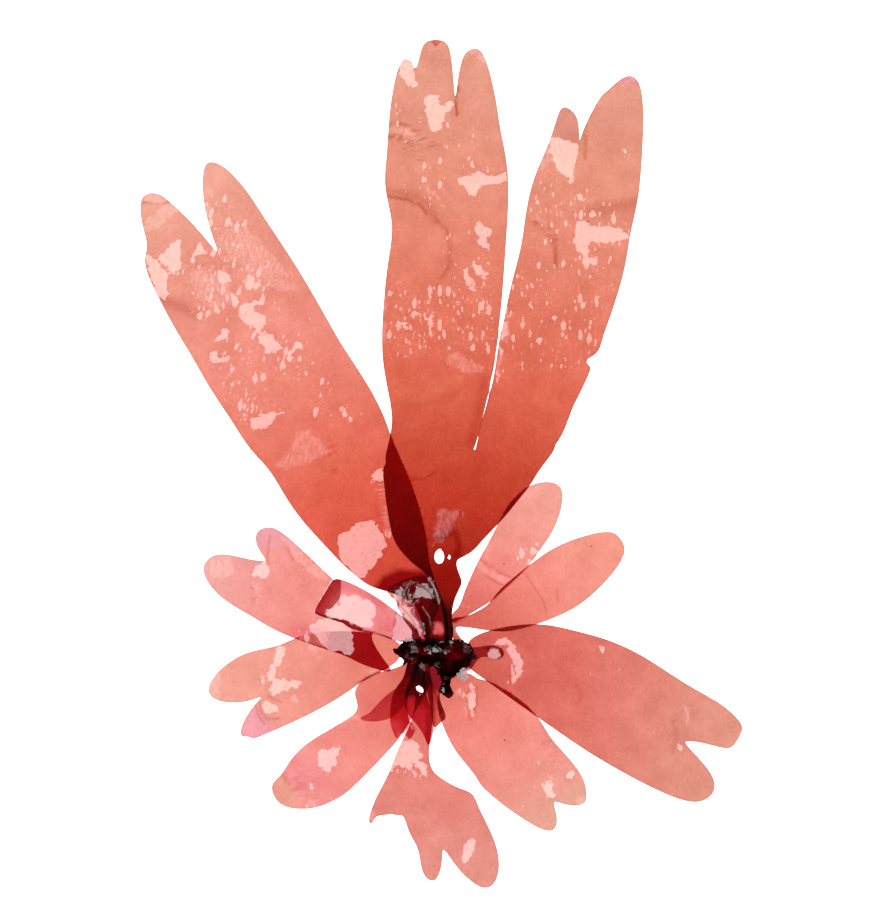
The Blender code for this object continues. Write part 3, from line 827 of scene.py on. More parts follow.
def delete_faces(obj: bpy.types.Object, chosen: np.ndarray) -> None:
    """Deletes some of an object's faces.

    Args:
        obj: The object.
        chosen: For each face, whether it goes.
    """
    choose(obj)
    bpy.ops.object.mode_set(mode="EDIT")
    bpy.ops.mesh.select_mode(type="FACE")
    bpy.ops.mesh.select_all(action="DESELECT")
    bpy.ops.object.mode_set(mode="OBJECT")
    obj.data.polygons.foreach_set("select", chosen)
    bpy.ops.object.mode_set(mode="EDIT")
    bpy.ops.mesh.delete(type="FACE")
    bpy.ops.object.mode_set(mode="OBJECT")


def ripple(plan: np.ndarray) -> np.ndarray:
    """The small ripples that all blades share, so that they keep their distance from each other.

    Args:
        plan: Places on the plant.

    Returns:
        How far each place is raised, in millimetres.
    """
    away = np.hypot(plan[:, 0], plan[:, 1])
    calm = np.clip((away - CALM_REACH) / CALM_FADE, 0, 1)
    waves = np.array([noise.fractal(Vector((*spot, 3.7)), 0.8, 2.1, 3) for spot in plan / RIPPLE_LENGTH])
    return calm * RIPPLE_HEIGHT * np.clip(0.55 + waves, 0, 1.6)


def pulled(plan: np.ndarray, pulls: tuple[Pull, ...]) -> np.ndarray:
    """How far a piece's points are moved by pulls at its margin.

    Args:
        plan: The places of the points on the plant.
        pulls: The pulls.

    Returns:
        The way that each point moves, in millimetres.
    """
    moved = np.zeros_like(plan)
    for pull in pulls:
        away = np.linalg.norm(plan - np.array(pull.at), axis=1) / pull.radius
        moved += np.exp(-(away**2))[:, None] * np.array(pull.by)
    return moved


@dataclass
class Blade:
    """One frond or leaflet of the plant.

    Attributes:
        name: The piece's name.
        nodes: The solids that it stands for.
        film: What it is made of.
        slot: The record's slot that it would take its finish from; not used.
        patches: Its wet patches.
        flecks: The areas with small wet flecks.
        creases: Its creases.
        folds: Where it lies double.
        tints: Where its colour differs.
        pulls: Where its margin is moved.
        pinches: Slits that are nearly closed.
        holes: Outlines of the holes worn through it.
        deep: What its colour is multiplied by where it lies on another blade.
        seams: Lines along which its solids are joined.
        thickness: How thick it is, in millimetres.
        levels: How finely it is divided.
    """

    name: str
    nodes: tuple[str, ...]
    film: Film
    slot: Slot
    patches: tuple[Patch, ...] = ()
    flecks: tuple[Flecks, ...] = ()
    creases: tuple[Crease, ...] = ()
    folds: tuple[Fold, ...] = ()
    tints: tuple[Tint, ...] = ()
    pulls: tuple[Pull, ...] = ()
    pinches: tuple[Pinch, ...] = ()
    holes: tuple[tuple[Point, ...], ...] = ()
    deep: Colour = (1.0, 0.12, 0.25)
    seams: tuple[tuple[Point, Point], ...] = ()
    thickness: float = 0.3
    levels: int = 3

    def build(self) -> bpy.types.Object:
        """Makes the blade from the upper sheets of its solids.

        Returns:
            The finished blade.
        """
        obj = self.sheet()
        self.shape(obj)
        self.wear(obj)
        turned = [self.turned_under(obj, number) for number in range(len(self.folds))]
        apply(obj, "SOLIDIFY", thickness=self.thickness * MM, offset=-1)
        if turned:
            choose(obj)
            for part in turned:
                part.select_set(True)
            bpy.ops.object.join()
        self.measure(obj)
        obj.data.materials.append(self.film.material())
        choose(obj)
        bpy.ops.object.shade_smooth_by_angle(angle=SMOOTH_ANGLE)
        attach(obj, "root")
        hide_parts(*self.nodes)
        LOG.info("%s: %d points", self.name, len(obj.data.vertices))
        return obj

    def sheet(self) -> bpy.types.Object:
        """The upper sheets of the solids as one smooth, finely divided sheet.

        Returns:
            The sheet.
        """
        parts = [merged_copy(node, self.name) for node in self.nodes]
        for part in parts:
            delete_faces(part, np.array([polygon.normal.z < LOOKING_UP for polygon in part.data.polygons]))
        obj = parts[0]
        choose(obj)
        if len(parts) > 1:
            for part in parts[1:]:
                part.select_set(True)
            bpy.ops.object.join()
            self.close_seams(obj)
        obj.name = self.name
        apply(obj, "SUBSURF", levels=self.levels, render_levels=self.levels)
        return obj

    def close_seams(self, obj: bpy.types.Object) -> None:
        """Joins the sheets along their seams.

        Args:
            obj: The sheets, in one object.
        """
        plan = plan_of(obj)
        near = np.zeros(len(plan), bool)
        for seam in self.seams:
            near |= path_distance(plan, seam) < SEAM_REACH
        choose(obj)
        bpy.ops.object.mode_set(mode="EDIT")
        bpy.ops.mesh.select_mode(type="VERT")
        bpy.ops.mesh.select_all(action="DESELECT")
        bpy.ops.object.mode_set(mode="OBJECT")
        obj.data.vertices.foreach_set("select", near)
        bpy.ops.object.mode_set(mode="EDIT")
        bpy.ops.mesh.remove_doubles(threshold=SEAM_GAP * MM)
        bpy.ops.object.mode_set(mode="OBJECT")

    def shape(self, obj: bpy.types.Object) -> None:
        """Ripples and creases the sheet, and moves its margins.

        Args:
            obj: The sheet.
        """
        spots, plan = spots_of(obj), plan_of(obj)
        raised = ripple(plan)
        for crease in self.creases:
            away = path_distance(plan, crease.points) / crease.width
            raised += crease.rise * np.exp(-(away**2))
        moved = pulled(plan, self.pulls)
        for pinch in self.pinches:
            away, nearest = nearest_on_path(plan, pinch.points)
            share = pinch.amount * np.clip(1 - away / pinch.radius, 0, 1) / np.maximum(away, 1e-6)
            moved += np.minimum(share, 1)[:, None] * (nearest - plan)
        spots[:, :2] += moved * MM
        spots[:, 2] += raised * MM
        place_spots(obj, spots)

    def wear(self, obj: bpy.types.Object) -> None:
        """Opens the holes that are worn through the sheet.

        Args:
            obj: The sheet.
        """
        if not self.holes:
            return
        middles = np.array([polygon.center[:2] for polygon in obj.data.polygons])
        middles = middles / MM - np.array(HOLDFAST_MIDDLE)
        inside = np.zeros(len(middles), bool)
        for corners in self.holes:
            inside |= signed_distance(middles, corners) > 0
        delete_faces(obj, inside)

    def turned_under(self, obj: bpy.types.Object, number: int) -> bpy.types.Object:
        """The part of the blade that is turned under along a fold.

        Args:
            obj: The blade's sheet.
            number: Which of the blade's folds it is.

        Returns:
            The turned part, just below the sheet.
        """
        fold = self.folds[number]
        choose(obj)
        bpy.ops.object.duplicate()
        part = bpy.context.view_layer.objects.active
        bpy.ops.object.mode_set(mode="EDIT")
        corners = np.array(fold.corners, float)
        middle = corners.mean(axis=0)
        for start, end in zip(corners, np.roll(corners, -1, axis=0)):
            outwards = np.array([end[1] - start[1], start[0] - end[0]])
            outwards *= math.copysign(1 / np.linalg.norm(outwards), outwards @ (start - middle))
            spot = (start + np.array(HOLDFAST_MIDDLE)) * MM
            bpy.ops.mesh.select_all(action="SELECT")
            bpy.ops.mesh.bisect(
                plane_co=(*spot, 0), plane_no=(*outwards, 0), use_fill=False, clear_outer=True, threshold=1e-6
            )
        bpy.ops.object.mode_set(mode="OBJECT")
        spots = spots_of(part)
        spots[:, 2] -= fold.drop * MM
        place_spots(part, spots)
        carry(part, "turned", np.full(len(spots), number + 1))
        apply(part, "SOLIDIFY", thickness=fold.thickness * MM, offset=-1)
        return part

    def measure(self, obj: bpy.types.Object) -> None:
        """Gives the blade's points the numbers that its material reads.

        Args:
            obj: The blade.
        """
        plan = plan_of(obj)
        carry(obj, "reach", np.hypot(plan[:, 0], plan[:, 1]) / PLANT_REACH)
        carry(obj, "edge", self.margin_distance(obj, plan))
        carry_patches(obj, plan, self.patches)
        strewn = np.zeros(len(plan))
        for area in self.flecks:
            inside = np.clip(signed_distance(plan, area.corners) / FLECK_FADE + 0.5, 0, 1)
            strewn = np.maximum(strewn, area.share * inside)
        carry(obj, "fleck", strewn)
        density, shine = np.ones(len(plan)), np.zeros(len(plan))
        for crease in self.creases:
            near = np.exp(-((path_distance(plan, crease.points) / crease.width) ** 2))
            density += crease.depth * near
            shine = np.maximum(shine, crease.shine * np.clip(near * 3 - 1, 0, 1))
        carry(obj, "shine", shine)
        carry(obj, "fullness", density)
        self.colour_in(obj, plan)

    def colour_in(self, obj: bpy.types.Object, plan: np.ndarray) -> None:
        """Gives the blade's points the colour that multiplies their own.

        Args:
            obj: The blade.
            plan: The places of its points on the plant.
        """
        colours = np.ones((len(plan), 4))
        colours[self.stacked(obj), :3] = self.deep
        for area in self.tints:
            share = np.clip(signed_distance(plan, area.corners) / area.blur + 0.5, 0, 1)[:, None]
            changed = np.array(area.colour) * (1 if area.alone else colours[:, :3])
            colours[:, :3] += share * (changed - colours[:, :3])
        if "turned" in obj.data.attributes:
            turned = np.empty(len(plan), np.float32)
            obj.data.attributes["turned"].data.foreach_get("value", turned)
            for number, fold in enumerate(self.folds):
                doubled = np.abs(turned - number - 1) < 0.5
                away = path_distance(plan[doubled], fold.corners[:2])[:, None]
                share = np.clip(away / fold.fade, 0, 1) ** 2 if fold.fade else np.zeros_like(away)
                colours[doubled, :3] = (1 - share) * np.array(fold.tint) + share * np.array(fold.inner)
        attribute = obj.data.attributes.new("tint", "FLOAT_COLOR", "POINT")
        attribute.data.foreach_set("color", colours.astype(np.float32).ravel())

    def stacked(self, obj: bpy.types.Object) -> np.ndarray:
        """Finds where the blade lies on another one.

        Args:
            obj: The blade.

        Returns:
            For each of its points, whether another blade lies below it.
        """
        spots = spots_of(obj)
        found = np.zeros(len(spots), bool)
        for node in LAYERS[: LAYERS.index(self.nodes[0])]:
            mesh = frame["nodes"][node].data
            low, high = (np.array(corner)[:2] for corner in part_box(node))
            near = ((spots[:, :2] > low) & (spots[:, :2] < high)).all(axis=1)
            tree = BVHTree.FromPolygons(
                [vertex.co for vertex in mesh.vertices],
                [tuple(polygon.vertices) for polygon in mesh.polygons],
            )
            for index in np.nonzero(near & ~found)[0]:
                if tree.ray_cast(Vector((*spots[index][:2], 0.1)), Vector((0, 0, -1)))[0] is not None:
                    found[index] = True
        return found

    def margin_distance(self, obj: bpy.types.Object, plan: np.ndarray) -> np.ndarray:
        """How far each point is from the blade's margin.

        Args:
            obj: The blade, with its thickness.
            plan: The places of its points on the plant.

        Returns:
            The distances, in millimetres.
        """
        margin = set()
        for polygon in obj.data.polygons:
            if abs(polygon.normal.z) < LOOKING_UP:
                margin.update(polygon.vertices)
        tree = KDTree(len(margin))
        for number, index in enumerate(margin):
            tree.insert((*plan[index], 0), number)
        tree.balance()
        return np.array([tree.find((x, y, 0))[2] for x, y in plan])


@dataclass
class Mound:
    """A thick, lumpy part of the plant: the holdfast or its broken stalk.

    Attributes:
        name: The piece's name.
        node: The solid that it stands for.
        flesh: What it is made of.
        patches: Its wet patches.
        lumps: How far its small lumps stand up or sink in.
        grain: The size of its lumps.
        spread: How far its foot reaches over the blades round it.
        fringe: How far its torn fringe stands out beyond that.
        fringe_grain: The size of the fringe's teeth.
        stretch: How many times longer its lumps are along X than along Y.
        voxel: How finely it is divided.
        headroom: How far it stays below the top of the solids.
    """

    name: str
    node: str
    flesh: Core
    patches: tuple[Patch, ...] = ()
    lumps: float = 0.5
    grain: float = 2.2
    spread: float = 0.5
    fringe: float = 2.4
    fringe_grain: float = 1.6
    stretch: float = 1.4
    voxel: float = 0.35
    headroom: float = 0.05

    def build(self) -> bpy.types.Object:
        """Makes the piece from its solid.

        Returns:
            The finished piece.
        """
        obj = merged_copy(self.node, self.name)
        apply(obj, "REMESH", mode="VOXEL", voxel_size=self.voxel * MM)
        apply(obj, "SMOOTH", factor=0.5, iterations=4)
        spots, plan = spots_of(obj), plan_of(obj)
        normals = np.array([vertex.normal for vertex in obj.data.vertices])
        low = spots[:, 2].min()
        for index, (spot, normal) in enumerate(zip(spots, normals)):
            here = Vector((spot[0], spot[1] * self.stretch, spot[2])) / (self.grain * MM)
            lump = noise.ridged_multi_fractal(here, 1.0, 2.2, 3, 0.8, 1.6) - 1.1
            spots[index] += normal * lump * self.lumps * MM
        teeth = [noise.fractal(Vector((*spot, 1.3)), 0.7, 2.2, 3) for spot in plan / self.fringe_grain]
        reach = self.spread + self.fringe * np.clip(np.array(teeth) + 0.1, 0, 1)
        spots[:, :2] += normals[:, :2] * reach[:, None] * MM
        spots[:, 2] = np.clip(spots[:, 2], low, CAD_BOX[1].z - self.headroom * MM)
        place_spots(obj, spots)
        carry_patches(obj, plan, self.patches)
        obj.data.materials.append(self.flesh.material())
        obj.data.shade_smooth()
        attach(obj, "root")
        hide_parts(self.node)
        LOG.info("%s: %d points", self.name, len(obj.data.vertices))
        return obj


def bright(*corners: Point) -> Patch:
    """A bright wet patch with these corners."""
    return Patch(corners)


def soft(*corners: Point) -> Patch:
    """A soft wet patch with these corners."""
    return Patch(corners, Gloss.SOFT)


def zone(share: float, *corners: Point) -> Flecks:
    """An area of wet flecks with these corners."""
    return Flecks(corners, share)


@dataclass
class TallFronds:
    """The tall left frond and the tall forked frond."""

    left_film: Film = Film.shown(
        "tall_left_film", (0, 165, 25, 15), (25, 202, 64, 48), (48, 214, 81, 62), (70, 223, 98, 78),
        (95, 228, 121, 102), (125, 235, 142, 126), (165, 230, 148, 130), (195, 240, 174, 154),
        fleck_turn=-12,
    )
    forked_film: Film = Film.shown(
        "forked_film", (0, 120, 8, 4), (32, 165, 30, 18), (52, 190, 55, 37), (72, 202, 77, 54),
        (96, 219, 102, 80), (125, 223, 120, 97), (160, 228, 142, 120), (205, 227, 154, 132),
    )

    def build(self) -> None:
        """Makes both tall fronds."""
        self.left().build()
        self.forked().build()

    def left(self) -> Blade:
        """The tall left frond, with its two finger-like tips.

        Returns:
            The frond.
        """
        patches = (
            bright((-100, 141), (-96, 143), (-93.5, 146.4), (-92.6, 145), (-93, 140), (-92.5, 136),
                   (-95, 133.5), (-98, 136), (-100, 138.5)),
            bright((-105.6, 141), (-101, 138), (-98, 134), (-96.8, 127), (-98, 124.5), (-100.4, 125.5),
                   (-104.4, 134)),
            bright((-89.3, 137.5), (-87.2, 143.2), (-84.5, 143.8), (-83.6, 141), (-87, 139.8),
                   (-88.5, 137.3)),
            bright((-80.3, 135.5), (-77, 135.3), (-75.6, 131), (-78, 129.8), (-80, 132)),
            bright((-75.8, 127), (-73.2, 125.6), (-72.3, 122.8), (-74.2, 122)),
            bright((-70.4, 128.5), (-69, 132.6), (-67, 133), (-66.6, 129), (-68.8, 127)),
            bright((-72.2, 121.8), (-68, 123.6), (-64, 124.6), (-63.8, 123), (-67.4, 122), (-66.2, 120.2),
                   (-63.5, 119), (-63.3, 114.6), (-65, 111.8), (-68.4, 115), (-71.6, 118)),
            bright((-65.2, 112), (-62, 112.6), (-60.3, 113), (-59.7, 110), (-56.3, 107.6), (-58, 106.4),
                   (-60.5, 106.6), (-61.6, 104.3), (-62.7, 107), (-64.7, 109.5)),
            bright((-80.4, 110), (-79, 113), (-76, 114.2), (-75.6, 112), (-78, 110)),
            bright((-56.2, 106.2), (-54, 106.7), (-52.8, 104), (-51.8, 100.4), (-53.6, 100.6), (-55.7, 104)),
            bright((-53.1, 109), (-52, 110.7), (-50.1, 109), (-51.4, 106.3), (-52.9, 107.3)),
            bright((-83.2, 106), (-80.5, 106), (-78.8, 101), (-79.3, 98), (-81.2, 98.8), (-82.7, 103)),
            bright((-78.2, 100), (-77.2, 105), (-75.3, 104.4), (-75.2, 100), (-77, 98.2)),
            bright((-68.2, 81.5), (-65.2, 84.2), (-61.5, 84.6), (-59, 85.2), (-56.6, 86.4), (-56.2, 84.6),
                   (-60, 82.8), (-62, 80.8), (-64.4, 78.2), (-67.2, 78.2)),
            bright((-35.9, 86), (-34.2, 88.9), (-32.8, 88.4), (-33.9, 85.5), (-34.3, 83.1), (-35.9, 84)),
            bright((-33.9, 83.4), (-32.8, 83.4), (-32.9, 81.4), (-33.9, 81.6)),
            bright((-38, 39.6), (-37, 42), (-33, 44.6), (-30, 46.4), (-26, 47.6), (-24, 45.6), (-22, 42.5),
                   (-19.8, 40), (-21, 37.5), (-22.6, 36.2), (-21.3, 34.4), (-24, 32.4), (-26.5, 30),
                   (-28.6, 26.8), (-31, 27.4), (-33.6, 30), (-37, 35)),
            bright((-25.2, 60.3), (-25, 63), (-23, 65.7), (-20.8, 67), (-21.3, 61.8), (-22.4, 60.7),
                   (-23.5, 60.9)),
            soft((-22.8, 60), (-21.2, 60.4), (-19.8, 50), (-19, 44), (-20.6, 44.4), (-22.4, 55)),
            soft((-53, 76), (-48.5, 79.6), (-46, 77), (-42, 73.6), (-39.6, 70.6), (-44, 69), (-50, 67),
                 (-57, 64.5), (-59.6, 66), (-55, 71.5)),
            soft((-85.4, 169), (-83.3, 168.5), (-82.2, 164.5), (-80.2, 161.5), (-81.5, 157), (-83.5, 153.6),
                 (-84.7, 160)),
            soft((-105.4, 160.4), (-103, 161.6), (-99, 160.2), (-97.6, 158.6), (-101, 157.6), (-104, 157.6)),
            soft((-105, 153), (-101, 155), (-97, 158.4), (-92.6, 156.4), (-97, 153), (-101, 148.6),
                 (-105.4, 149)),
            soft((-80, 146), (-74, 151), (-66, 147), (-58, 137), (-52, 128), (-58, 127), (-66, 133),
                 (-76, 139)),
            soft((-90, 134), (-82, 136), (-76, 130), (-74, 123), (-80, 121), (-87, 124)),
        )
        flecks = (
            zone(0.9, (-86, 160), (-76, 162), (-56, 132), (-66, 124), (-84, 140)),
            zone(0.85, (-96, 140), (-80, 140), (-72, 118), (-90, 118)),
            zone(0.6, (-76, 128), (-60, 128), (-44, 102), (-58, 90), (-76, 92), (-84, 112)),
            zone(0.95, (-80, 98), (-68, 98), (-62, 80), (-70, 78)),
            zone(1.1, (-27, 49), (-22, 49), (-18, 41), (-20, 39)),
            zone(0.6, (-50, 98), (-40, 98), (-30, 84), (-48, 82)),
        )
        creases = (
            Crease(((-106, 158.6), (-100, 158), (-96, 158.8)), 0.4, 0.1, 0.3),
            Crease(((-99, 124), (-94, 122.6), (-88, 120)), 2.2, 0.1, 0.2),
            Crease(((-40.6, 73.5), (-38.9, 68), (-38.4, 63.4)), 0.4, 0.08, 0.3),
            Crease(((-22.6, 60.6), (-22, 54), (-21, 47), (-19.6, 42)), 0.3, 0.05, 0.1, 0.6),
            Crease(((-21.9, 58), (-21.2, 51), (-20.2, 45.4)), 0.25, 0.05, 0.1, 0.4),
        )
        return Blade(
            "tall_left_blade", ("tall_left_frond",), self.left_film, Slot.TALL_BLADE, patches, flecks,
            creases,
            tints=(
                Tint(((-25, 23), (-22, 27.4), (-16, 30), (-6, 29.4), (-2, 27), (-2, 16), (-22, 16)),
                     (0.45, 0.03, 0.1), 2),
                Tint(((-14, 20), (-5.4, 20), (-5.4, 0), (-10, 0)), (0.8, 0.03, 0.14), 2, True),
                Tint(((-5.4, 22), (3, 22), (3, 0), (-5.4, 0)), (0.3, 0.02, 0.1), 1.2, True),
                Tint(((-3.4, 11.4), (-1.8, 11.4), (-0.6, 9.6), (-0.3, 7.4), (-4.2, 7.2)), (1.5, 4.0, 7.4),
                     0.4, True),
            ),
        )

    def forked(self) -> Blade:
        """The tallest frond, with its stalk, its middle lobe and its right lobe.

        Returns:
            The frond.
        """
        return Blade(
            "forked_blade",
            ("forked_frond_base", "forked_frond_middle_lobe", "forked_frond_right_lobe"),
            self.forked_film,
            Slot.TALL_BLADE,
            self.middle_patches() + self.right_patches() + self.base_patches(),
            (
                zone(0.85, (-20, 131), (20, 131), (17, 106), (-21, 104)),
                zone(0.55, (0, 188), (18, 188), (21, 168), (0, 168)),
                zone(0.45, (-19, 200), (-4, 190), (6, 176), (8, 150), (20, 145), (20, 124), (0, 126),
                     (-4, 150), (-20, 166)),
                zone(0.7, (30, 168), (43, 168), (44, 145), (27, 142)),
                zone(0.8, (43, 164), (54, 162), (66, 152), (58, 134), (44, 132), (42, 145)),
                zone(0.62, (22, 140), (62, 136), (52, 102), (15, 94)),
                zone(1.1, (2, 52), (7, 51), (7, 47), (3, 47)),
            ),
            self.creases(),
            (Fold(((-5.6, 215.8), (-0.8, 215.8), (-3.2, 213.2)), (2.5, 3.1, 4.4)),),
            tints=(
                Tint(((-8, 33), (8, 33), (8, 14), (5, 2), (-7, 2), (-9, 20)), (0.8, 0.5, 0.4), 9),
                Tint(((-5, 19), (5, 17), (4, 1), (-5, 1)), (0.25, 0.1, 0.15), 5),
                Tint(((59, 199.6), (62, 204), (69, 204), (70, 199), (65, 200.4)), (1.0, 0.8, 1.2), 0.8),
                Tint(((-18, 96), (-8, 93), (1, 96), (10, 101), (6, 95), (-2, 90), (-10, 87), (-18, 89)),
                     (1.04, 1.2, 1.2), 4),
                # A greyer, darker area on the small left lobe of the right lobe: painted shade.
                Tint(((37, 183), (40, 194), (48, 194), (48, 180), (43, 179)), (0.9, 0.88, 0.94), 3),
                # A paler area beside the soft wet patch on the base: a painted sheen, lighter colour standing
                # in for reflected light.
                Tint(((3.6, 50), (19, 41), (12, 33), (2, 33)), (1.0, 1.2, 1.2), 1.5),
            ),
            pulls=(
                Pull((51.6, 102.6), (-1.9, 0.3), 1.2),
                Pull((-1.2, 36.4), (-0.5, 0.7), 0.9),
                Pull((2.8, 9), (0.6, 0), 3.4),
            ),
            holes=(((1.0, 33.9), (1.5, 33.5), (2.0, 33.9), (1.9, 34.9), (1.3, 35)),),
            pinches=(
                Pinch(((18.9, 113), (18.4, 109.5), (17.8, 105.3), (17.3, 101.1), (16.25, 96.9),
                       (15.5, 92.8)), 0.42, 4),
                Pinch(((15.2, 91.5), (14.5, 88.5), (13.5, 84.3), (12.4, 80.1), (11.6, 76.8)), 0.75, 4),
            ),
            seams=(((-20.6, 67.6), (9.7, 71.4)), ((10.9, 71.6), (38.6, 73.4))),
        )

    def middle_patches(self) -> tuple[Patch, ...]:
        """The wet patches of the middle lobe."""
        return (
            bright((-16.4, 208), (-13.7, 209.7), (-11.3, 207), (-10.2, 203), (-10.2, 199.3), (-12, 197.8),
                   (-13.6, 201), (-16, 203)),
            bright((-7.2, 195.2), (-5, 196.4), (-2.2, 195.8), (-1.8, 193), (0, 192.6), (2, 194.2),
                   (3.5, 193.6), (3, 190.8), (0.2, 189.8), (-0.8, 187), (-0.8, 184.3), (-3.5, 182.6),
                   (-5.2, 185), (-6.6, 189)),
            bright((9.8, 170.4), (12, 169.2), (14, 167.6), (18, 168.2), (21.6, 168.6), (21.6, 166.1),
                   (18, 164.8), (14, 164.4), (11.2, 163), (10.2, 159.6), (8.8, 160.8), (7.8, 163.8),
                   (5.8, 164.4), (4.2, 166), (6, 167.2), (8.6, 168)),
            bright((10.3, 149.2), (11.8, 152.4), (13.2, 150.2), (15.6, 149.2), (15.8, 147), (14.8, 144.3),
                   (12.4, 143), (11.3, 146.5)),
            bright((14.6, 144), (15.8, 144), (15.8, 140.4), (14.8, 140.6)),
            bright((9.8, 137.5), (11, 138.6), (13.2, 135.8), (14.7, 134), (14.7, 131), (13, 132.6),
                   (11, 133.8)),
            bright((6.3, 133.3), (7, 135.9), (8, 135.4), (8, 131.2), (6.7, 131.6)),
            bright((7.8, 132.6), (9, 132.4), (10.7, 131), (10.2, 127.5), (9, 126), (8, 129.5)),
            bright((3.2, 123.5), (5, 124.9), (6, 123.7), (5.2, 121.6), (3.8, 121.6)),
            bright((-12.4, 122.4), (-10, 124.9), (-8.8, 126.4), (-8.6, 124.6), (-10.4, 122.2), (-12, 121)),
            bright((-5.8, 118.5), (-4, 119.8), (-2.7, 118), (-3.6, 115.6), (-5.2, 116.2)),
            bright((-9.8, 120.3), (-8.4, 120.8), (-7.8, 119), (-9, 118.2)),
            bright((-10.3, 112.5), (-8.7, 113.3), (-8, 111), (-9.5, 109.7)),
            bright((-15.2, 116), (-14, 117.4), (-13.2, 114), (-14.6, 112.2)),
            bright((-19.8, 119), (-18.6, 119.8), (-18.4, 117.4), (-19.6, 117.2)),
            soft((1, 105), (3, 106.4), (9, 103.7), (14.4, 100.8), (12, 98.8), (8, 98.8), (4, 100.3),
                 (1.2, 102)),
            soft((-22.4, 127), (-20.3, 126), (-20.1, 113), (-21, 108), (-22.2, 110)),
            soft((-20.4, 185), (-15, 185), (-11, 183.4), (-8.6, 180.5), (-6.8, 176.6), (-9, 177),
                 (-11.4, 180.4), (-15, 182.8), (-20.2, 183)),
            soft((-7, 163.4), (-3, 161), (-1, 158.4), (1.4, 154.8), (0, 155.6), (-2.6, 159.4), (-6, 162)),
            soft((3.6, 206), (5, 210.8), (8, 212.6), (12, 212.6), (15.4, 206), (13.6, 207.6), (9.8, 211),
                 (6.4, 209)),
        )

    def right_patches(self) -> tuple[Patch, ...]:
        """The wet patches of the right lobe."""
        return (
            bright((35.6, 182), (38.6, 181.2), (42, 180.4), (46.6, 178.8), (46.4, 174), (45.2, 170),
                   (44.4, 166), (43.3, 164.8), (41.4, 167.9), (39.4, 170), (37.8, 173.6), (36.6, 177.5)),
            soft((36.4, 182), (38.6, 179), (37.8, 174), (35, 170), (33.2, 170.6), (35, 177)),
            bright((45.8, 152.6), (47, 155.4), (48.8, 155), (49.3, 152), (50.2, 150.6), (55, 150.2),
                   (60, 149.2), (64.7, 148.7), (64.2, 145.8), (60, 144.7), (55, 144.2), (51.2, 144.8),
                   (50.2, 143), (50.2, 139.8), (51.6, 139.2), (54.2, 139.7), (53.2, 137.8), (50.9, 137.2),
                   (50.6, 133.8), (49, 136.6), (47.2, 137.6), (48.8, 139.9), (46.8, 141.2), (45.2, 142.5),
                   (45.2, 146), (46.3, 150)),
            bright((46.4, 161.4), (47.8, 161.6), (48.6, 159.2), (47.4, 159.4)),
            bright((51, 156.4), (52.4, 155.6), (53.2, 153.4), (52, 153.2)),
            bright((32.3, 128.6), (33.7, 128.4), (33.4, 125.6), (32.2, 126)),
            bright((29, 124.4), (30.4, 124), (30.8, 121.2), (29.4, 121.4)),
            bright((48, 124), (48.9, 123.4), (48.7, 120), (47.9, 121)),
            bright((37.8, 118.6), (38.8, 118.4), (39, 115.4), (38, 115.4)),
            bright((32, 111.2), (33.8, 111.2), (33.8, 108.8), (32.2, 108.8)),
            bright((62.6, 177.9), (63.5, 177.6), (63.5, 175.6), (62.8, 175.8)),
            bright((19.6, 113), (20.8, 118.6), (22.2, 120), (21.8, 114), (20.6, 108), (19.4, 104),
                   (18.8, 106)),
            soft((29.4, 154.8), (33, 152.9), (36.4, 150.6), (34, 150), (29.6, 152.3)),
            soft((60, 201), (64.6, 203.2), (67.8, 201.4), (66, 200.4), (62, 199.8)),
            soft((19.8, 112), (21.6, 120), (23.8, 120), (22.4, 112), (20.4, 103), (18, 99), (18, 103)),
        )

    def base_patches(self) -> tuple[Patch, ...]:
        """The wet patches of the base and the stalk."""
        return (
            soft((-2.4, 51.6), (1, 51), (4.4, 50.4), (4.6, 47.5), (2.6, 45), (1.2, 42.3), (-1, 39.6),
                 (-4.2, 38.4), (-3.6, 44), (-2.8, 48)),
            bright((-5.5, 27.6), (-4.1, 26), (-2.3, 22.5), (-1, 18.5), (-1.2, 17.2), (-2.1, 19), (-4.1, 22.5),
                   (-5.6, 25.5)),
        )

    def creases(self) -> tuple[Crease, ...]:
        """The creases of the forked frond."""
        return (
            Crease(((-21, 181.6), (-14, 181), (-11, 179.5), (-9.4, 177), (-8.7, 173.6)), 0.6, 0.08, 0.35),
            Crease(((-21.4, 162.6), (-14, 161.6), (-9, 160), (-6, 157.6), (-4.4, 155), (-3.6, 152.6)), 1.8,
                   0.1, 0.16),
            Crease(((-20, 160.6), (-13, 159.4), (-8.6, 157.4), (-6.4, 154.6)), 0.5, 0.05, 0.35),
            Crease(((-3, 152), (0.6, 149), (1.8, 142), (0.6, 134), (-4, 129)), 0.5, 0.05, 0.22),
            Crease(((14, 97), (12.6, 88), (10.4, 80), (9.4, 75)), 1.6, 0.1, 0.14),
            Crease(((-16, 88), (-8, 87.4), (0, 90), (7, 94.4)), 1.6, 0.15, 0.04),
            Crease(((31, 152), (33.4, 150.4), (36.4, 148.2), (38.2, 145.6), (38.8, 141), (38.6, 136)), 0.6,
                   0.08, 0.35),
            Crease(((50, 155.6), (58, 156.6), (66.4, 158.4)), 2.2, 0.1, 0.16),
            Crease(((48.6, 187), (49.4, 180), (49, 174)), 0.6, 0.08, 0.25),
            Crease(((4.2, 199), (3.8, 193), (4.2, 189)), 0.35, 0.08, 0.5),
            Crease(((-2, 41), (3.4, 43), (5, 38), (4, 35)), 1.2, 0.1, 0.25),
            Crease(((-20.4, 185.6), (-14, 186), (-9.4, 183), (-5, 178)), 0.4, 0.05, 0.3),
            Crease(((-17, 184), (-12.6, 183), (-9.6, 180.6), (-7.4, 177)), 0.45, 0.05, 0.0, 0.35),
            Crease(((-6.4, 163), (-3, 160.6), (-0.4, 156.6)), 0.4, 0.05, 0.0, 0.35),
            Crease(((-13, 62), (-8, 61.4), (-3, 64)), 0.35, 0.05, 0.15),
        )


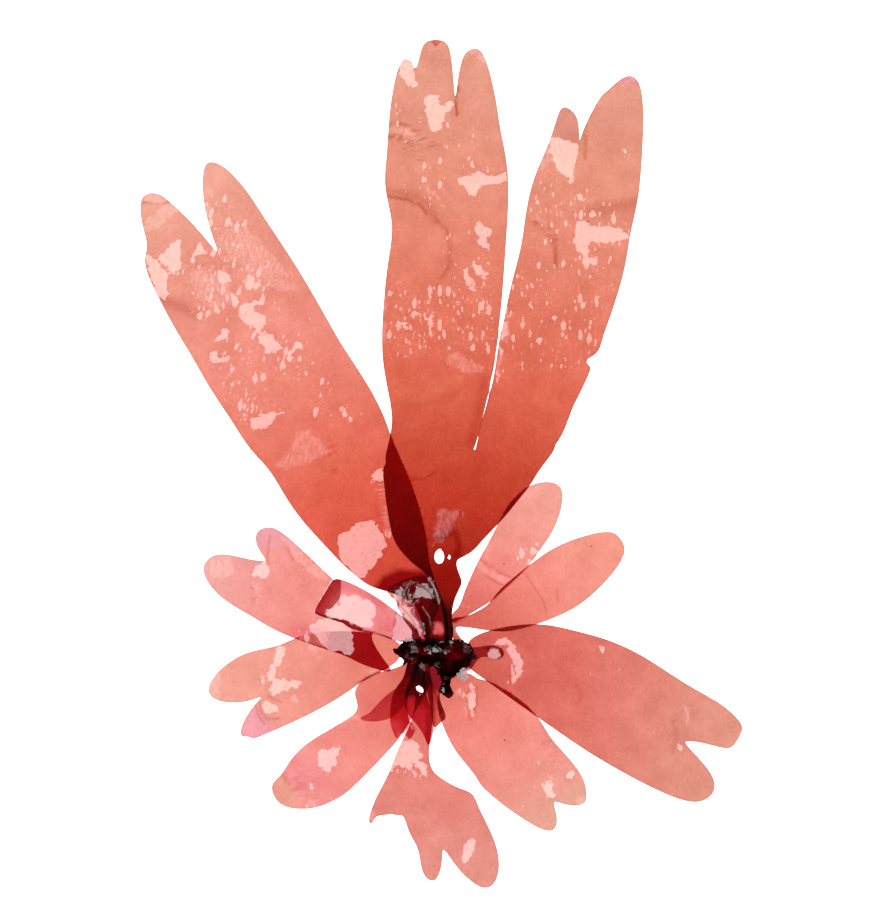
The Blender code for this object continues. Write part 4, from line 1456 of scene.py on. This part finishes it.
@dataclass
class LeftFronds:
    """The fronds on the left of the holdfast: two of them overlap, and the folded one lies on top."""

    warm: Film = Film.shown(
        "left_lower_film", (0, 226, 112, 96), (35, 233, 136, 121), (62, 237, 156, 141), (86, 241, 168, 150),
    )
    pink: Film = Film.shown(
        "left_upper_film", (0, 222, 112, 96), (35, 236, 140, 129), (62, 238, 147, 139), (92, 240, 174, 166),
    )
    rosy: Film = Film.shown(
        "folded_left_film", (0, 232, 124, 112), (28, 243, 150, 144), (52, 243, 154, 152),
    )
    tip: Film = Film.shown(
        "lower_left_film", (0, 212, 92, 78), (24, 232, 126, 112), (55, 240, 146, 138), (78, 236, 150, 143),
    )

    def build(self) -> None:
        """Makes the four left fronds."""
        self.lower().build()
        self.lowest().build()
        self.upper().build()
        self.folded().build()

    def lower(self) -> Blade:
        """The left frond that points straight left, with a blunt tip and a small lower lobe.

        Returns:
            The frond.
        """
        patches = (
            soft((-83.4, -7), (-80, -5), (-78.3, -8), (-78.3, -12), (-79.3, -15.4), (-83, -14.4)),
            bright((-58.2, 3.2), (-56, 3), (-56.8, 0), (-58.3, -4), (-59.8, -8), (-61, -10.3), (-62.8, -8),
                   (-61, -4), (-59.2, 0)),
            bright((-60.3, -8.3), (-56, -8.8), (-50.2, -9.6), (-52, -11.7), (-57, -12.2), (-60, -13.7),
                   (-61.3, -12)),
            bright((-64.2, -17.5), (-62, -16.3), (-58.8, -16.9), (-58.8, -19.6), (-61, -21.2),
                   (-63.6, -20.7)),
            soft((-48.4, 2.2), (-45, 2.7), (-43.3, -1), (-43.7, -2.8), (-46, -0.8)),
            soft((-65.2, -6.3), (-62.6, -6.8), (-62.6, -8.9), (-65, -8.4)),
            soft((-53.8, -13.8), (-51.4, -14.2), (-51.4, -16.3), (-53.6, -16)),
            soft((-28.4, -6.2), (-25, -4.6), (-21.6, -5.3), (-26, -8.4)),
        )
        creases = (
            Crease(((-66.4, -17.4), (-65.6, -21), (-63.4, -24)), 0.35, 0.1, 0.22),
            Crease(((-65, -16.6), (-64.6, -20), (-62.4, -22.6), (-58, -22.4)), 0.35, 0.1, 0.22),
            Crease(((-62, -14.4), (-60, -15.6), (-57.4, -16.4)), 0.35, 0.1, 0.2),
            Crease(((-28.4, -8.8), (-24.6, -6.6), (-20.8, -5.2)), 0.4, 0.1, 0.9),
        )
        flecks = (zone(0.8, (-66, -6), (-60, -6), (-60, -12), (-66, -12)),)
        return Blade(
            "left_lower_blade", ("left_lower_frond",), self.warm, Slot.SHORT_BLADE, patches, flecks, creases,
            tints=(
                Tint(((-74, -32), (-74, -22), (-66, -18), (-60, -24), (-60, -32)), (1.0, 0.97, 1.35), 4),
                Tint(((-50.8, 5.3), (-41.4, 2), (-40, 10), (-52, 10)), (1.9, 4.0, 4.4), 0.5),
            ),
        )

    def upper(self) -> Blade:
        """The left frond with two lobes, above the lower one.

        Returns:
            The frond.
        """
        patches = (
            soft((-57.4, 41), (-54, 40.6), (-50, 36.5), (-44, 31.3), (-39.6, 27.2), (-42, 26.3), (-46, 27.5),
                 (-50, 31), (-53, 34), (-54.3, 37), (-56.4, 38)),
            bright((-66.3, 31), (-63, 33), (-61.8, 31), (-61.8, 28.3), (-64, 26.8), (-67, 27.4)),
            bright((-47.8, 9.6), (-44, 12.2), (-41, 13.2), (-37.6, 12.2), (-35.6, 11), (-32.6, 8.5),
                   (-31.8, 5), (-31.8, 2), (-33.3, -0.4), (-36, 0.8), (-40, 1.8), (-43.2, 3.4), (-45.2, 6),
                   (-46.7, 8)),
            soft((-66.4, 24.4), (-64.6, 23.4), (-64.6, 20.4), (-66.2, 20.8)),
            soft((-82.4, 33.4), (-76, 35), (-74, 31), (-76, 26), (-82.6, 28)),
        )
        creases = (
            Crease(((-62, 31.6), (-62.2, 37), (-61.2, 42)), 0.35, 0.08, 0.2),
            Crease(((-56.4, 39.4), (-54.6, 36), (-53.2, 32.6)), 0.35, 0.08, 0.2),
            Crease(((-68, 24), (-67.2, 18)), 0.35, 0.08, 0.15),
        )
        flecks = (
            zone(1.0, (-52, 8.6), (-44, 9), (-41, 3), (-51, 4)),
            zone(0.85, (-69, 32), (-62, 31), (-63, 22), (-68, 22)),
        )
        under_fold = ((-45.6, 15.2), (-39.4, 26), (-36, 24.6), (-30, 23), (-24, 20), (-18, 15.6), (-13, 11.4),
                      (-9.6, 8), (-9, 4), (-12, 4.2), (-17.6, 5.6), (-22, 7.6), (-29.8, 9), (-33, 9.8),
                      (-35.4, 11.8), (-38.8, 12.9), (-42.1, 13.6))
        return Blade(
            "left_upper_blade", ("left_upper_frond",), self.pink, Slot.SHORT_BLADE, patches, flecks, creases,
            tints=(
                Tint(under_fold, (3.0, 9.0, 12.0), 0.5, True),
                Tint(((-54, 3), (-41.6, 1), (-41.6, 10), (-54, 10)), (1.0, 0.72, 0.85), 2, True),
                Tint(((-68, 46), (-56, 46), (-56, 40), (-61, 37), (-68, 38)), (0.96, 1.0, 1.25), 4),
                Tint(((-30, 9), (-22, 8), (-17, -7), (-24, -6)), (1.05, 0.7, 1.0), 2),
            ),
        )

    def folded(self) -> Blade:
        """The left frond that lies on top, with its end turned under.

        Returns:
            The frond.
        """
        patches = (
            bright((-42.3, 13.5), (-41.3, 16), (-39.4, 17.3), (-36.7, 17.7), (-36.5, 19.5), (-35.5, 21),
                   (-32, 21.2), (-28, 19.6), (-25, 17.5), (-23.8, 15), (-25.6, 13), (-25.6, 10.5),
                   (-28, 9.4), (-31, 10.6), (-34, 12.2), (-38, 12.8)),
            bright((-16.8, 14.6), (-12, 12.4), (-9, 8), (-8.8, 4.4), (-12, 4.6), (-18.6, 5.2)),
        )
        creases = (
            Crease(((-16.4, 14.4), (-12, 11), (-9.2, 7.6)), 0.4, 0.3, 0.7),
            Crease(((-18, 5.4), (-24, 7.6), (-30, 8.8)), 0.5, 0.2, 0.4),
        )
        folds = (
            Fold(((-46.8, 14.9), (-39.8, 27.6), (-36.4, 26.2), (-36.6, 20.4), (-38.6, 17.4), (-42.4, 14.2)),
                 (1.0, 0.04, 0.15), (1.5, 2.1, 2.1), 6.5),
            Fold(((-46.8, 14.9), (-42, 14.1), (-38.6, 12.9), (-38.8, 11.6), (-42, 12))),
            Fold(((-38.8, 12.9), (-34, 12), (-28.6, 9.4), (-29.8, 7.8), (-33.6, 8.4), (-38.8, 11.4))),
        )
        return Blade(
            "folded_left_blade", ("folded_left_frond",), self.rosy, Slot.SHORT_BLADE, patches, (), creases,
            folds,
            deep=(1.0, 1.0, 1.0),
            tints=(
                Tint(((-17, 15), (-12, 12.4), (-8.6, 8), (-8, 3), (-12, 3.4), (-18.8, 5.2)),
                     (0.7, 0.3, 0.5), 0.8),
                Tint(((-26, 20), (-17, 15), (-18.4, 5), (-26, 7)), (0.95, 0.8, 0.9), 4),
                Tint(((-39, 27.6), (-34, 27), (-25.9, 22.6), (-19, 17.8), (-21, 15.8), (-27, 19.4),
                      (-33, 22.4), (-37, 22.6)), (0.9, 0.66, 0.72), 1.6),
            ),
        )

    def lowest(self) -> Blade:
        """The frond that points down to the left, with its tip folded.

        Returns:
            The frond.
        """
        patches = (
            bright((-44.2, -33.4), (-41, -32.7), (-39, -32.1), (-36.8, -32.3), (-36.8, -34.6), (-38.3, -36),
                   (-38.3, -38.6), (-40, -40), (-41.4, -42.9), (-43.1, -41.2), (-44.2, -38)),
            bright((-47, -45), (-45.8, -45), (-45.8, -47.2), (-46.8, -47.2)),
            soft((-48.4, -50.8), (-44.8, -50.8), (-44.8, -53.4), (-47.8, -53.6)),
            soft((-37.6, -23.8), (-33, -20.6), (-30, -20.2), (-30.4, -22.4), (-36, -24.6)),
        )
        creases = (
            Crease(((-56.8, -41.4), (-55.6, -44.6), (-53, -47), (-50, -47.8)), 0.5, 0.12, 0.2),
            Crease(((-53.6, -42.6), (-51, -45.6), (-48, -48), (-46, -50)), 0.5, 0.1, 0.15),
        )
        flecks = (zone(0.35, (-58, -40), (-50, -38), (-40, -50), (-46, -54), (-54, -50)),)
        return Blade(
            "lower_left_blade", ("lower_left_frond",), self.tip, Slot.SHORT_BLADE, patches, flecks, creases,
            tints=(
                Tint(((-58, -40), (-52, -34), (-38, -44), (-42, -54), (-50, -48), (-54, -48)),
                     (1.02, 1.0, 1.08), 3),
                Tint(((-62, -49), (-60, -43.6), (-57, -42), (-55.4, -45), (-53, -48.6), (-52, -54),
                      (-58, -55)),
                     (0.94, 1.12, 0.95), 0.8),
                Tint(((-31, -22), (-28, -7), (-10, -1), (-10, -10), (-24, -20)), (0.93, 0.85, 0.85), 5),
            ),
            holes=(WORN_HOLE,),
        )


@dataclass
class RightFronds:
    """The fronds on the right of the holdfast, and the torn one below it."""

    rust: Film = Film.shown(
        "right_film", (0, 200, 84, 70), (20, 211, 98, 87), (45, 220, 111, 99), (70, 223, 130, 115),
        (90, 224, 144, 127), (110, 224, 152, 132),
    )
    coral: Film = Film.shown(
        "lower_right_film", (0, 206, 92, 76), (14, 226, 120, 106), (30, 238, 138, 126), (52, 236, 148, 136),
        (72, 228, 168, 148),
    )
    torn: Film = Film.shown(
        "bottom_film", (0, 200, 84, 70), (30, 226, 126, 113), (55, 227, 136, 125), (84, 228, 151, 138),
    )
    inner: Film = Film.shown(
        "upper_right_inner_film", (0, 196, 80, 66), (18, 220, 108, 96), (34, 238, 136, 126),
        (50, 239, 153, 141), (72, 240, 164, 150),
    )
    outer: Film = Film.shown(
        "upper_right_outer_film", (0, 190, 78, 64), (18, 216, 104, 92), (36, 236, 134, 120),
        (56, 241, 152, 136), (74, 240, 154, 134),
    )

    def build(self) -> None:
        """Makes the fronds on the right and the torn one."""
        self.bottom().build()
        self.lower().build()
        self.right().build()
        self.upper_inner().build()
        self.upper_outer().build()

    def right(self) -> Blade:
        """The long frond that points right.

        Returns:
            The frond.
        """
        patches = (
            bright((18, 4.2), (21, 6), (23.2, 4), (24.2, 2), (26.2, 0), (27.7, -3), (27.7, -6.6), (26, -8),
                   (24, -9.7), (23.2, -9.2), (24.8, -6), (23.8, -4), (24.2, -2), (22.8, 0.5), (21.8, 1.5),
                   (21.3, 3), (19.5, 3.8)),
            bright((82, -31.6), (83.6, -31.4), (83.4, -33.4), (82.2, -33.2)),
            bright((54, 2.6), (55.6, 2.4), (55.2, 1.2), (54.2, 1.4)),
            soft((84, -18), (86.4, -18), (86.4, -26), (84.2, -26)),
        )
        flecks = (zone(0.9, (21, 3), (28, 1), (29, -9), (22, -10)),
                  zone(0.35, (50, 4), (62, 2), (64, -10), (50, -8)))
        creases = (
            Crease(((46, -10), (47.6, -14), (46.4, -18)), 0.5, 0.05, 0.08),
            Crease(((80, -22), (81, -28), (80, -34)), 0.8, 0.05, 0.1),
        )
        return Blade("right_blade", ("right_frond",), self.rust, Slot.SHORT_BLADE, patches, flecks, creases)

    def lower(self) -> Blade:
        """The frond that points down to the right, notched at its tip.

        Returns:
            The frond.
        """
        patches = (
            soft((36, -30.4), (37.8, -31), (37.3, -34), (36.2, -38.6), (35.3, -36)),
            bright((36, -42.6), (37.6, -42.8), (38.2, -46), (38, -50), (36, -49.6), (34.3, -47.2),
                   (35.3, -45)),
            bright((42.3, -42), (45, -40.3), (46.2, -41), (44, -43), (42.6, -43.2)),
            soft((45.8, -51), (48, -49.2), (49.2, -50.8), (49.2, -52.6), (46.3, -53)),
            bright((9.4, -10.8), (10.8, -12), (10.6, -18), (9, -20.4), (8.3, -17), (8.6, -13)),
            soft((7.3, -12.8), (8.4, -13.4), (7.4, -18), (8.4, -22.2), (6.2, -19)),
            soft((5.2, -17.5), (6.6, -15.8), (7.2, -19.2)),
            soft((3.4, -11), (6, -11), (6.4, -14), (4, -15)),
        )
        flecks = (
            zone(1.0, (4, -10), (11.6, -10), (11, -22), (5, -20)),
            zone(0.6, (34, -29), (39, -31), (38, -50), (34, -48)),
        )
        creases = (
            Crease(((11.2, -10.6), (11.4, -16), (10, -20.6)), 0.3, 0.1, 0.2),
            Crease(((7.8, -12), (7.4, -17), (8.8, -22.6)), 0.3, 0.1, 0.2),
            Crease(((35.4, -30), (35.8, -36), (37, -41)), 0.4, 0.08, 0.15),
        )
        return Blade(
            "lower_right_blade", ("lower_right_frond",), self.coral, Slot.SHORT_BLADE, patches, flecks,
            creases,
            pulls=(Pull((8.6, -7.8), (0, 1.3), 2.2),),
        )

    def bottom(self) -> Blade:
        """The torn frond below the holdfast.

        Returns:
            The frond.
        """
        patches = (
            bright((-16.2, -30.2), (-11, -29.8), (-8.8, -32), (-8.8, -34), (-7.8, -35), (-8.8, -37),
                   (-6.8, -38.4), (-6.2, -42.8), (-8, -41.7), (-10, -39.5), (-12.4, -37), (-10.2, -41.9),
                   (-13, -40.2), (-16, -38.2), (-18, -39.2), (-20.4, -41.4), (-19.2, -38), (-17.2, -34)),
            soft((-18.6, -39), (-21, -45), (-24, -50), (-26.6, -57.6), (-25.6, -57.8), (-24.2, -51.8),
                 (-21.8, -47)),
            bright((5.8, -70), (6.8, -67), (8.3, -64.3), (10.2, -63.8), (11.2, -66.5), (10.2, -68.6),
                   (8.7, -71), (7.2, -73.3), (5.8, -72.7)),
            soft((-16.2, -26.6), (-14.3, -26.8), (-13.2, -29), (-15, -30.5), (-16.3, -29)),
            soft((-3.4, -65.8), (-1.4, -65.8), (-1.6, -67.8), (-3.2, -67.8)),
        )
        flecks = (zone(0.6, (-20, -38), (-6, -36), (-6, -44), (-20, -46)),)
        creases = (Crease(((-19, -37), (-22.6, -46), (-25.4, -54)), 0.4, 0.08, 0.15),)
        return Blade(
            "bottom_blade", ("bottom_frond",), self.torn, Slot.SHORT_BLADE, patches, flecks, creases,
            tints=(Tint(((-8, -2), (3, -2), (2, -11), (-2, -13), (-8, -11)), (0.6, 0.3, 0.4), 3),),
            holes=(WORN_HOLE,),
        )

    def upper_inner(self) -> Blade:
        """The upper right frond next to the forked one.

        Returns:
            The frond.
        """
        patches = (
            soft((12, 33), (14, 31), (18, 28.8), (22.4, 26.8), (20.6, 24.5), (17, 26.3), (13, 28.2),
                 (10.8, 30.3)),
            soft((12.2, 35.5), (14.8, 39), (17.4, 43.6), (16.4, 37), (14.5, 34)),
            bright((30.2, 37.7), (32.2, 36.5), (31.2, 34.3), (29.8, 36)),
            soft((5.2, 18), (9, 17.2), (9.2, 16.2), (5.6, 16.8)),
            bright((16.4, 42.4), (17.6, 42.8), (17.6, 41.2), (16.8, 41)),
        )
        flecks = (zone(1.0, (23, 38), (33, 39), (33, 32), (26, 30)),
                  zone(0.8, (14, 44), (20, 44), (18, 39), (14, 38)))
        creases = (
            Crease(((12.4, 33.2), (17, 30), (22.6, 27.2)), 0.4, 0.1, 0.2),
            Crease(((10.6, 30.4), (16, 26.6), (20.4, 24.4)), 0.4, 0.08, 0.2),
        )
        return Blade(
            "upper_right_inner_blade", ("upper_right_inner_frond",), self.inner, Slot.SHORT_BLADE, patches,
            flecks, creases,
            pulls=(Pull((4.6, 13.4), (-1.4, 0.4), 2.2),),
        )

    def upper_outer(self) -> Blade:
        """The upper right frond that lies lower and further out.

        Returns:
            The frond.
        """
        patches = (soft((2.6, 11), (4.4, 9), (6.2, 4.4), (5, 5), (3.2, 8.6)),)
        creases = (
            Crease(((28, 28.6), (31, 24), (34, 19.6), (35.6, 15)), 0.4, 0.08, 0.15),
            Crease(((39.4, 23), (39.6, 19)), 0.4, 0.05, 0.15),
        )
        return Blade(
            "upper_right_outer_blade", ("upper_right_outer_frond",), self.outer, Slot.SHORT_BLADE, patches,
            (), creases,
            pulls=(Pull((4.4, 8), (-1.2, 0), 3.2), Pull((4.8, 12.6), (-1.2, 0.3), 2),
                   Pull((6.6, 7), (0.8, -0.6), 1.8)),
            deep=(1.0, 0.5, 0.6),
        )


@dataclass
class Leaflets:
    """The small leaflets round the holdfast, which lie over the roots of the fronds."""

    crumpled: Film = Film("crumpled_film", ((0, (0.3, 0.02, 0.03)), (40, (0.5, 0.06, 0.08))))
    wing: Film = Film("wing_film", ((0, (0.5, 0.08, 0.1)), (40, (0.69, 0.2, 0.24))))
    broad: Film = Film(
        "broad_film",
        ((0, (0.12, 0.004, 0.01)), (14, (0.2, 0.008, 0.016)), (20, (0.5, 0.04, 0.07)),
         (27, (0.62, 0.08, 0.1)), (31, (0.82, 0.4, 0.35))),
    )
    pointed: Film = Film(
        "pointed_film",
        ((0, (0.14, 0.004, 0.01)), (14, (0.44, 0.03, 0.02)), (18, (0.5, 0.06, 0.05)),
         (23, (0.75, 0.25, 0.28)), (32, (0.7, 0.12, 0.2))),
    )
    narrow: Film = Film("narrow_film", ((0, (0.3, 0.02, 0.03)), (26, through(210, 84, 72))))
    stalked: Film = Film("stalked_film", ((0, (0.36, 0.05, 0.06)), (22, (0.52, 0.12, 0.13))))
    glossy: Film = Film("glossy_film", ((0, (0.2, 0.01, 0.03)), (14, (0.34, 0.03, 0.05))))

    def build(self) -> None:
        """Makes the seven leaflets."""
        for blade in (*self.upper(), *self.lower(), *self.right()):
            blade.build()

    def upper(self) -> tuple[Blade, ...]:
        """The crumpled leaflet above the holdfast.

        Returns:
            The leaflet.
        """
        patches = (
            bright((-10, 24.7), (-6, 25.3), (-5.2, 24), (-3.2, 21), (-3.8, 20), (-8, 20.2), (-11.2, 20.3),
                   (-10.2, 22)),
            bright((-19.2, 21.5), (-16, 22.9), (-14.3, 21.2), (-15.3, 19.2), (-17, 19.9)),
            bright((-20.4, 21), (-18, 20.7), (-14, 17.3), (-11, 15.8), (-8.8, 12.7), (-6.8, 9.2), (-6.8, 7.2),
                   (-8.6, 7.8), (-10.6, 10.8), (-14.1, 13.8), (-17.2, 16.3), (-20.2, 17.8)),
            soft((-14.4, 24.4), (-12, 26.6), (-10, 25.6), (-11.6, 23.6)),
            soft((-4, 11.6), (-1.4, 11.4), (0, 8), (-4, 8.2)),
        )
        creases = (
            Crease(((-13.4, 24), (-14.4, 21.4), (-13.4, 18.6), (-11, 17.8), (-9.6, 19.4)), 0.3, 0.4, 0.3,
                   0.8),
            Crease(((-12.6, 23.4), (-13, 21.4), (-12, 19.8), (-10.8, 20.2), (-11, 21.6)), 0.25, 0.4, 0.3,
                   0.8),
            Crease(((-9.8, 25), (-6.8, 23.8), (-4.6, 21.6), (-3.4, 18.6)), 0.3, 0.4, 0.5, 0.0),
            Crease(((-5.8, 27), (-4.2, 24.8), (-2.8, 21.6), (-2, 18.4)), 0.65, 0.5, 0.0, 0.95),
            Crease(((-7, 27), (-5.4, 24.4), (-4, 21.2), (-3.2, 18.6)), 0.25, 0.3, 0.9, 0.0),
            Crease(((-18.8, 20.6), (-15.4, 17), (-12, 13.6), (-10, 10), (-9.4, 7)), 0.35, 0.5, 0.9, 0.0),
            Crease(((-17, 22), (-15.6, 20), (-14.6, 17.4)), 0.25, 0.3, 0.4, 0.7),
            Crease(((-15.4, 19), (-12.4, 14.6), (-9.6, 10.6), (-8.8, 7)), 0.3, 0.4, 0.0, 0.8),
            Crease(((-9.6, 16.4), (-7, 13), (-6, 9), (-6.2, 5)), 0.5, 0.4, 0.8, 0.0),
            Crease(((-7.8, 17), (-5.4, 13.4), (-4.8, 9)), 0.3, 0.3, 0.0, 0.35),
        )
        flecks = (zone(1.15, (-20, 23), (-12, 26), (-9, 19), (-11, 16), (-18, 19)),)
        return (
            Blade("crumpled_blade", ("crumpled_leaflet",), self.crumpled, Slot.DARK_LEAFLET, patches,
                  flecks, creases,
                  tints=(Tint(((-17, 23), (-14, 20), (-10.5, 14), (-7.6, 7), (-5, 4), (-4, 14), (-8, 20),
                               (-14, 23)),
                              (0.8, 0.15, 0.3), 1),
                         Tint(((-17, 21), (-14, 18), (-10.6, 13), (-8.4, 8), (-6.6, 5), (-5, 5), (-6.4, 9),
                               (-8.4, 14), (-11.6, 19), (-15, 22)), (0.5, 1.0, 0.75), 0.8),
                         Tint(((-22, 23.4), (-18.4, 22.6), (-15, 19), (-12, 15.2), (-9.6, 11), (-8, 6.6),
                               (-11, 6), (-13.4, 9.6), (-17, 13.6), (-21, 18)), (0.85, 2.6, 1.9), 0.5, True)),
                  pulls=(Pull((-11.6, 12.6), (-3.4, -1.4), 4.5), Pull((-8.6, 6), (-2.6, 0), 3),
                         Pull((-15, 16.4), (-1.8, -0.6), 3)),
                  deep=(0.8, 0.3, 0.5)),
        )

    def lower(self) -> tuple[Blade, ...]:
        """The four leaflets below the holdfast.

        Returns:
            The leaflets.
        """
        broad_patches = (
            soft((-12.6, -21.8), (-11, -22.4), (-9.6, -25.6), (-12, -25.8)),
            soft((-17, -27), (-15.8, -26.8), (-14.4, -28), (-16, -29.4)),
        )
        pointed_patches = (
            soft((-9.4, -3), (-4.8, -3), (-6.4, -5.8)),
            bright((-10.8, -1.6), (-9.8, -1), (-9.2, -2.8), (-10.6, -3.6)),
        )
        return (
            Blade("wing_blade", ("wing_leaflet",), self.wing, Slot.DARK_LEAFLET, deep=(1.0, 0.8, 0.8)),
            Blade("narrow_blade", ("narrow_leaflet",), self.narrow, Slot.DARK_LEAFLET,
                  creases=(Crease(((-5.4, -8), (-3.2, -14), (-1.4, -20)), 0.5, 0.1, 0.5),
                           Crease(((-4.6, -12), (-3.6, -18), (-3.8, -24)), 0.4, 0.1, 0.35)),
                  tints=(Tint(((-6, -4), (0.6, -4), (0.6, -11), (-1.6, -14), (-5, -11)), (0.4, 0.12, 0.2),
                              1.5),
                         Tint(((-2.6, -12.6), (0.4, -18), (1, -21.6), (-1, -24), (-2.4, -18)),
                              (1.0, 1.0, 0.9), 0.6, True)),
                  pulls=(Pull((-2.2, -8.4), (2.4, 0), 3.4),), holes=(WORN_HOLE,), deep=(0.9, 0.3, 0.5)),
            Blade("broad_blade", ("broad_leaflet",), self.broad, Slot.DARK_LEAFLET, broad_patches,
                  holes=(WORN_HOLE,), deep=(0.9, 0.3, 0.5)),
            Blade("pointed_blade", ("pointed_leaflet",), self.pointed, Slot.DARK_LEAFLET, pointed_patches,
                  creases=(Crease(((-9.4, -2), (-9.8, -6), (-11.4, -11)), 0.6, 0.25, 0.6),
                           Crease(((-12.6, -13), (-13.4, -17), (-12, -21)), 0.8, 0.1, 0.4)),
                  tints=(Tint(((-17, -2), (-6, -2), (-6.4, -12.6), (-8.6, -13.8), (-11, -14.2),
                               (-14.4, -14), (-16, -10)),
                              (0.28, 0.3, 0.4), 1.5),
                         Tint(((-7, -20), (-3, -20), (-3.4, -26), (-6, -34), (-8, -30), (-6.6, -26)),
                              (0.75, 0.4, 0.35), 1)),
                  holes=(WORN_HOLE,), deep=(0.9, 0.25, 0.5)),
        )

    def right(self) -> tuple[Blade, ...]:
        """The stalked leaflet and the small glossy one, right of the holdfast.

        Returns:
            The leaflets.
        """
        return (
            Blade("stalked_blade", ("stalked_leaflet",), self.stalked, Slot.DARK_LEAFLET,
                  (bright((14.8, 1), (16.4, 2.5), (18.6, 2.2), (19.2, 0.3), (18, -1.2), (15.8, -0.8)),),
                  creases=(Crease(((14.4, 2.4), (17, 3.2), (19.6, 2.4), (20.2, 0.4), (18.6, -1.2)), 0.5,
                                  0.3, 0.8),),
                  pulls=(Pull((8.4, -2.6), (-1.5, -1.9), 2.6),), deep=(1.0, 0.9, 0.9), thickness=0.5),
            Blade("glossy_blade", ("glossy_leaflet",), self.glossy, Slot.DARK_LEAFLET,
                  (bright((3.6, -5), (6, -2.4), (8.2, -4.6), (9, -8), (7, -9.7), (5, -8.6), (3.6, -6.5)),),
                  pulls=(Pull((6.2, -6), (-1.3, 1.6), 2),)),
        )


@dataclass
class Holdfast:
    """The dark holdfast that everything grows from, and the broken stalk below it."""

    flesh: Core = Core("holdfast_flesh", (0.003, 0.0002, 0.0004), (0.075, 0.0008, 0.002))
    stalk_flesh: Core = Core("stub_flesh", (0.002, 0.0001, 0.0003), (0.06, 0.001, 0.003))

    def build(self) -> None:
        """Makes the holdfast and the broken stalk."""
        patches = (
            bright((-7.6, 2.2), (-5, 2.9), (-2.4, 2.5), (0.4, 1.9), (1.6, 1.1), (-0.6, 0.6), (-4, 0.9),
                   (-7.2, 1.3)),
            soft((-12, 3.8), (-10.4, 4.4), (-9.6, 1.2), (-11.4, 1)),
            bright((-2.4, 4.4), (-0.6, 4.8), (-0.4, 3.4), (-2.2, 3.2)),
            bright((1.6, 5), (3, 4.6), (2.4, 2.6), (1.4, 3)),
            bright((-11.4, -0.4), (-10, -0.2), (-9.8, -2.4), (-11, -2.2)),
            soft((-13.6, 1), (-12, 1), (-12.4, -1), (-13.8, -0.8)),
            soft((5.4, 3.4), (7.8, 2.6), (8.4, 0.4), (6.2, 1)),
            soft((-3, -1.8), (-1, -1.6), (-0.8, -3.6), (-2.6, -3.8)),
        )
        Mound("holdfast_mass", "holdfast", self.flesh, patches, 0.4, 3.0, 0.9).build()
        stub_patches = (
            bright((0, -7.8), (0.6, -8.2), (-0.2, -10), (-0.5, -12.6), (-1, -12), (-0.8, -9.4)),
            soft((0, -7.2), (2, -6.4), (2.8, -6.8), (1, -7.8)),
        )
        Mound("broken_stalk", "stub", self.stalk_flesh, stub_patches, 0.25, 1.6, 0.3, 0.8).build()


@dataclass
class Stage:
    """The lit surface that the plant lies on, the lights and the camera.

    Attributes:
        surface_size: The length of the surface's sides, in metres.
        lens: The camera's lens, in millimetres.
        sensor: The width of the camera's sensor, in millimetres.
        distance: How far the camera is above the plant, in metres.
        middle: The middle of the picture, on the plant.
        surface_grey: What the surface itself reflects, beside its own light.
        lamp_height: How high the light overhead hangs, in metres.
        lamp_size: The length of its sides, in metres.
        lamp_power: Its power, in watts.
        room_light: How bright the room round the plant is.
    """

    surface_size: float = 6.0
    lens: float = 100.0
    sensor: float = 36.0
    distance: float = 0.877
    middle: Point = (-2.275, 71.75)
    surface_grey: float = 0.15
    lamp_height: float = 1.5
    lamp_size: float = 2.0
    lamp_power: float = 38.0
    room_light: float = 0.8

    def build(self) -> None:
        """Makes the surface, the lights and the camera."""
        self.surface()
        self.light()
        self.camera()
        bpy.context.scene.view_settings.view_transform = "Standard"
        bpy.context.scene.view_settings.look = "None"

    def surface(self) -> None:
        """Makes the pale, evenly lit surface."""
        deselect()
        bpy.ops.mesh.primitive_plane_add(size=self.surface_size, location=(0, 0, 0))
        plane = bpy.context.active_object
        plane.name = "light_table"
        shader = Shader("lit_surface")
        grey = self.surface_grey
        cloud = shader.noise(400, 2, shader.place())
        shader.plug(shader.spread(cloud, 0.2, 0.8, 0.4, 0.5), shader.surface.inputs["Roughness"])
        shader.surface.inputs["Base Color"].default_value = (grey, grey, grey, 1)
        shader.surface.inputs["Specular IOR Level"].default_value = 0.0
        shader.surface.inputs["Emission Color"].default_value = (1, 1, 1, 1)
        shader.surface.inputs["Emission Strength"].default_value = SURFACE_LIGHT
        plane.data.materials.append(shader.material)

    def light(self) -> None:
        """Makes a large soft light overhead and an even, pale room."""
        deselect()
        bpy.ops.object.light_add(type="AREA", location=(0, 0, self.lamp_height))
        lamp = bpy.context.active_object
        lamp.name = "overhead_softbox"
        lamp.data.shape = "SQUARE"
        lamp.data.size = self.lamp_size
        lamp.data.energy = self.lamp_power
        world = bpy.data.worlds.new("pale_room")
        world.use_nodes = True
        backdrop = world.node_tree.nodes["Background"]
        backdrop.inputs["Color"].default_value = (1, 1, 1, 1)
        backdrop.inputs["Strength"].default_value = self.room_light
        bpy.context.scene.world = world

    def camera(self) -> None:
        """Puts the camera straight above the plant."""
        deselect()
        x, y = (np.array(self.middle) + np.array(HOLDFAST_MIDDLE)) * MM
        bpy.ops.object.camera_add(location=(x, y, self.distance), rotation=(0, 0, 0))
        camera = bpy.context.active_object
        camera.name = "overhead_camera"
        camera.data.lens = self.lens
        camera.data.sensor_width = self.sensor
        camera.data.clip_start = 0.01
        bpy.context.scene.camera = camera


def main() -> None:
    """Builds the plant, the surface it lies on, the lights and the camera."""
    logging.basicConfig(level=logging.INFO, format="%(message)s")
    for part in (LeftFronds(), RightFronds(), TallFronds(), Leaflets(), Holdfast(), Stage()):
        LOG.info("building %s", type(part).__name__)
        part.build()


if __name__ == "__main__":
    main()
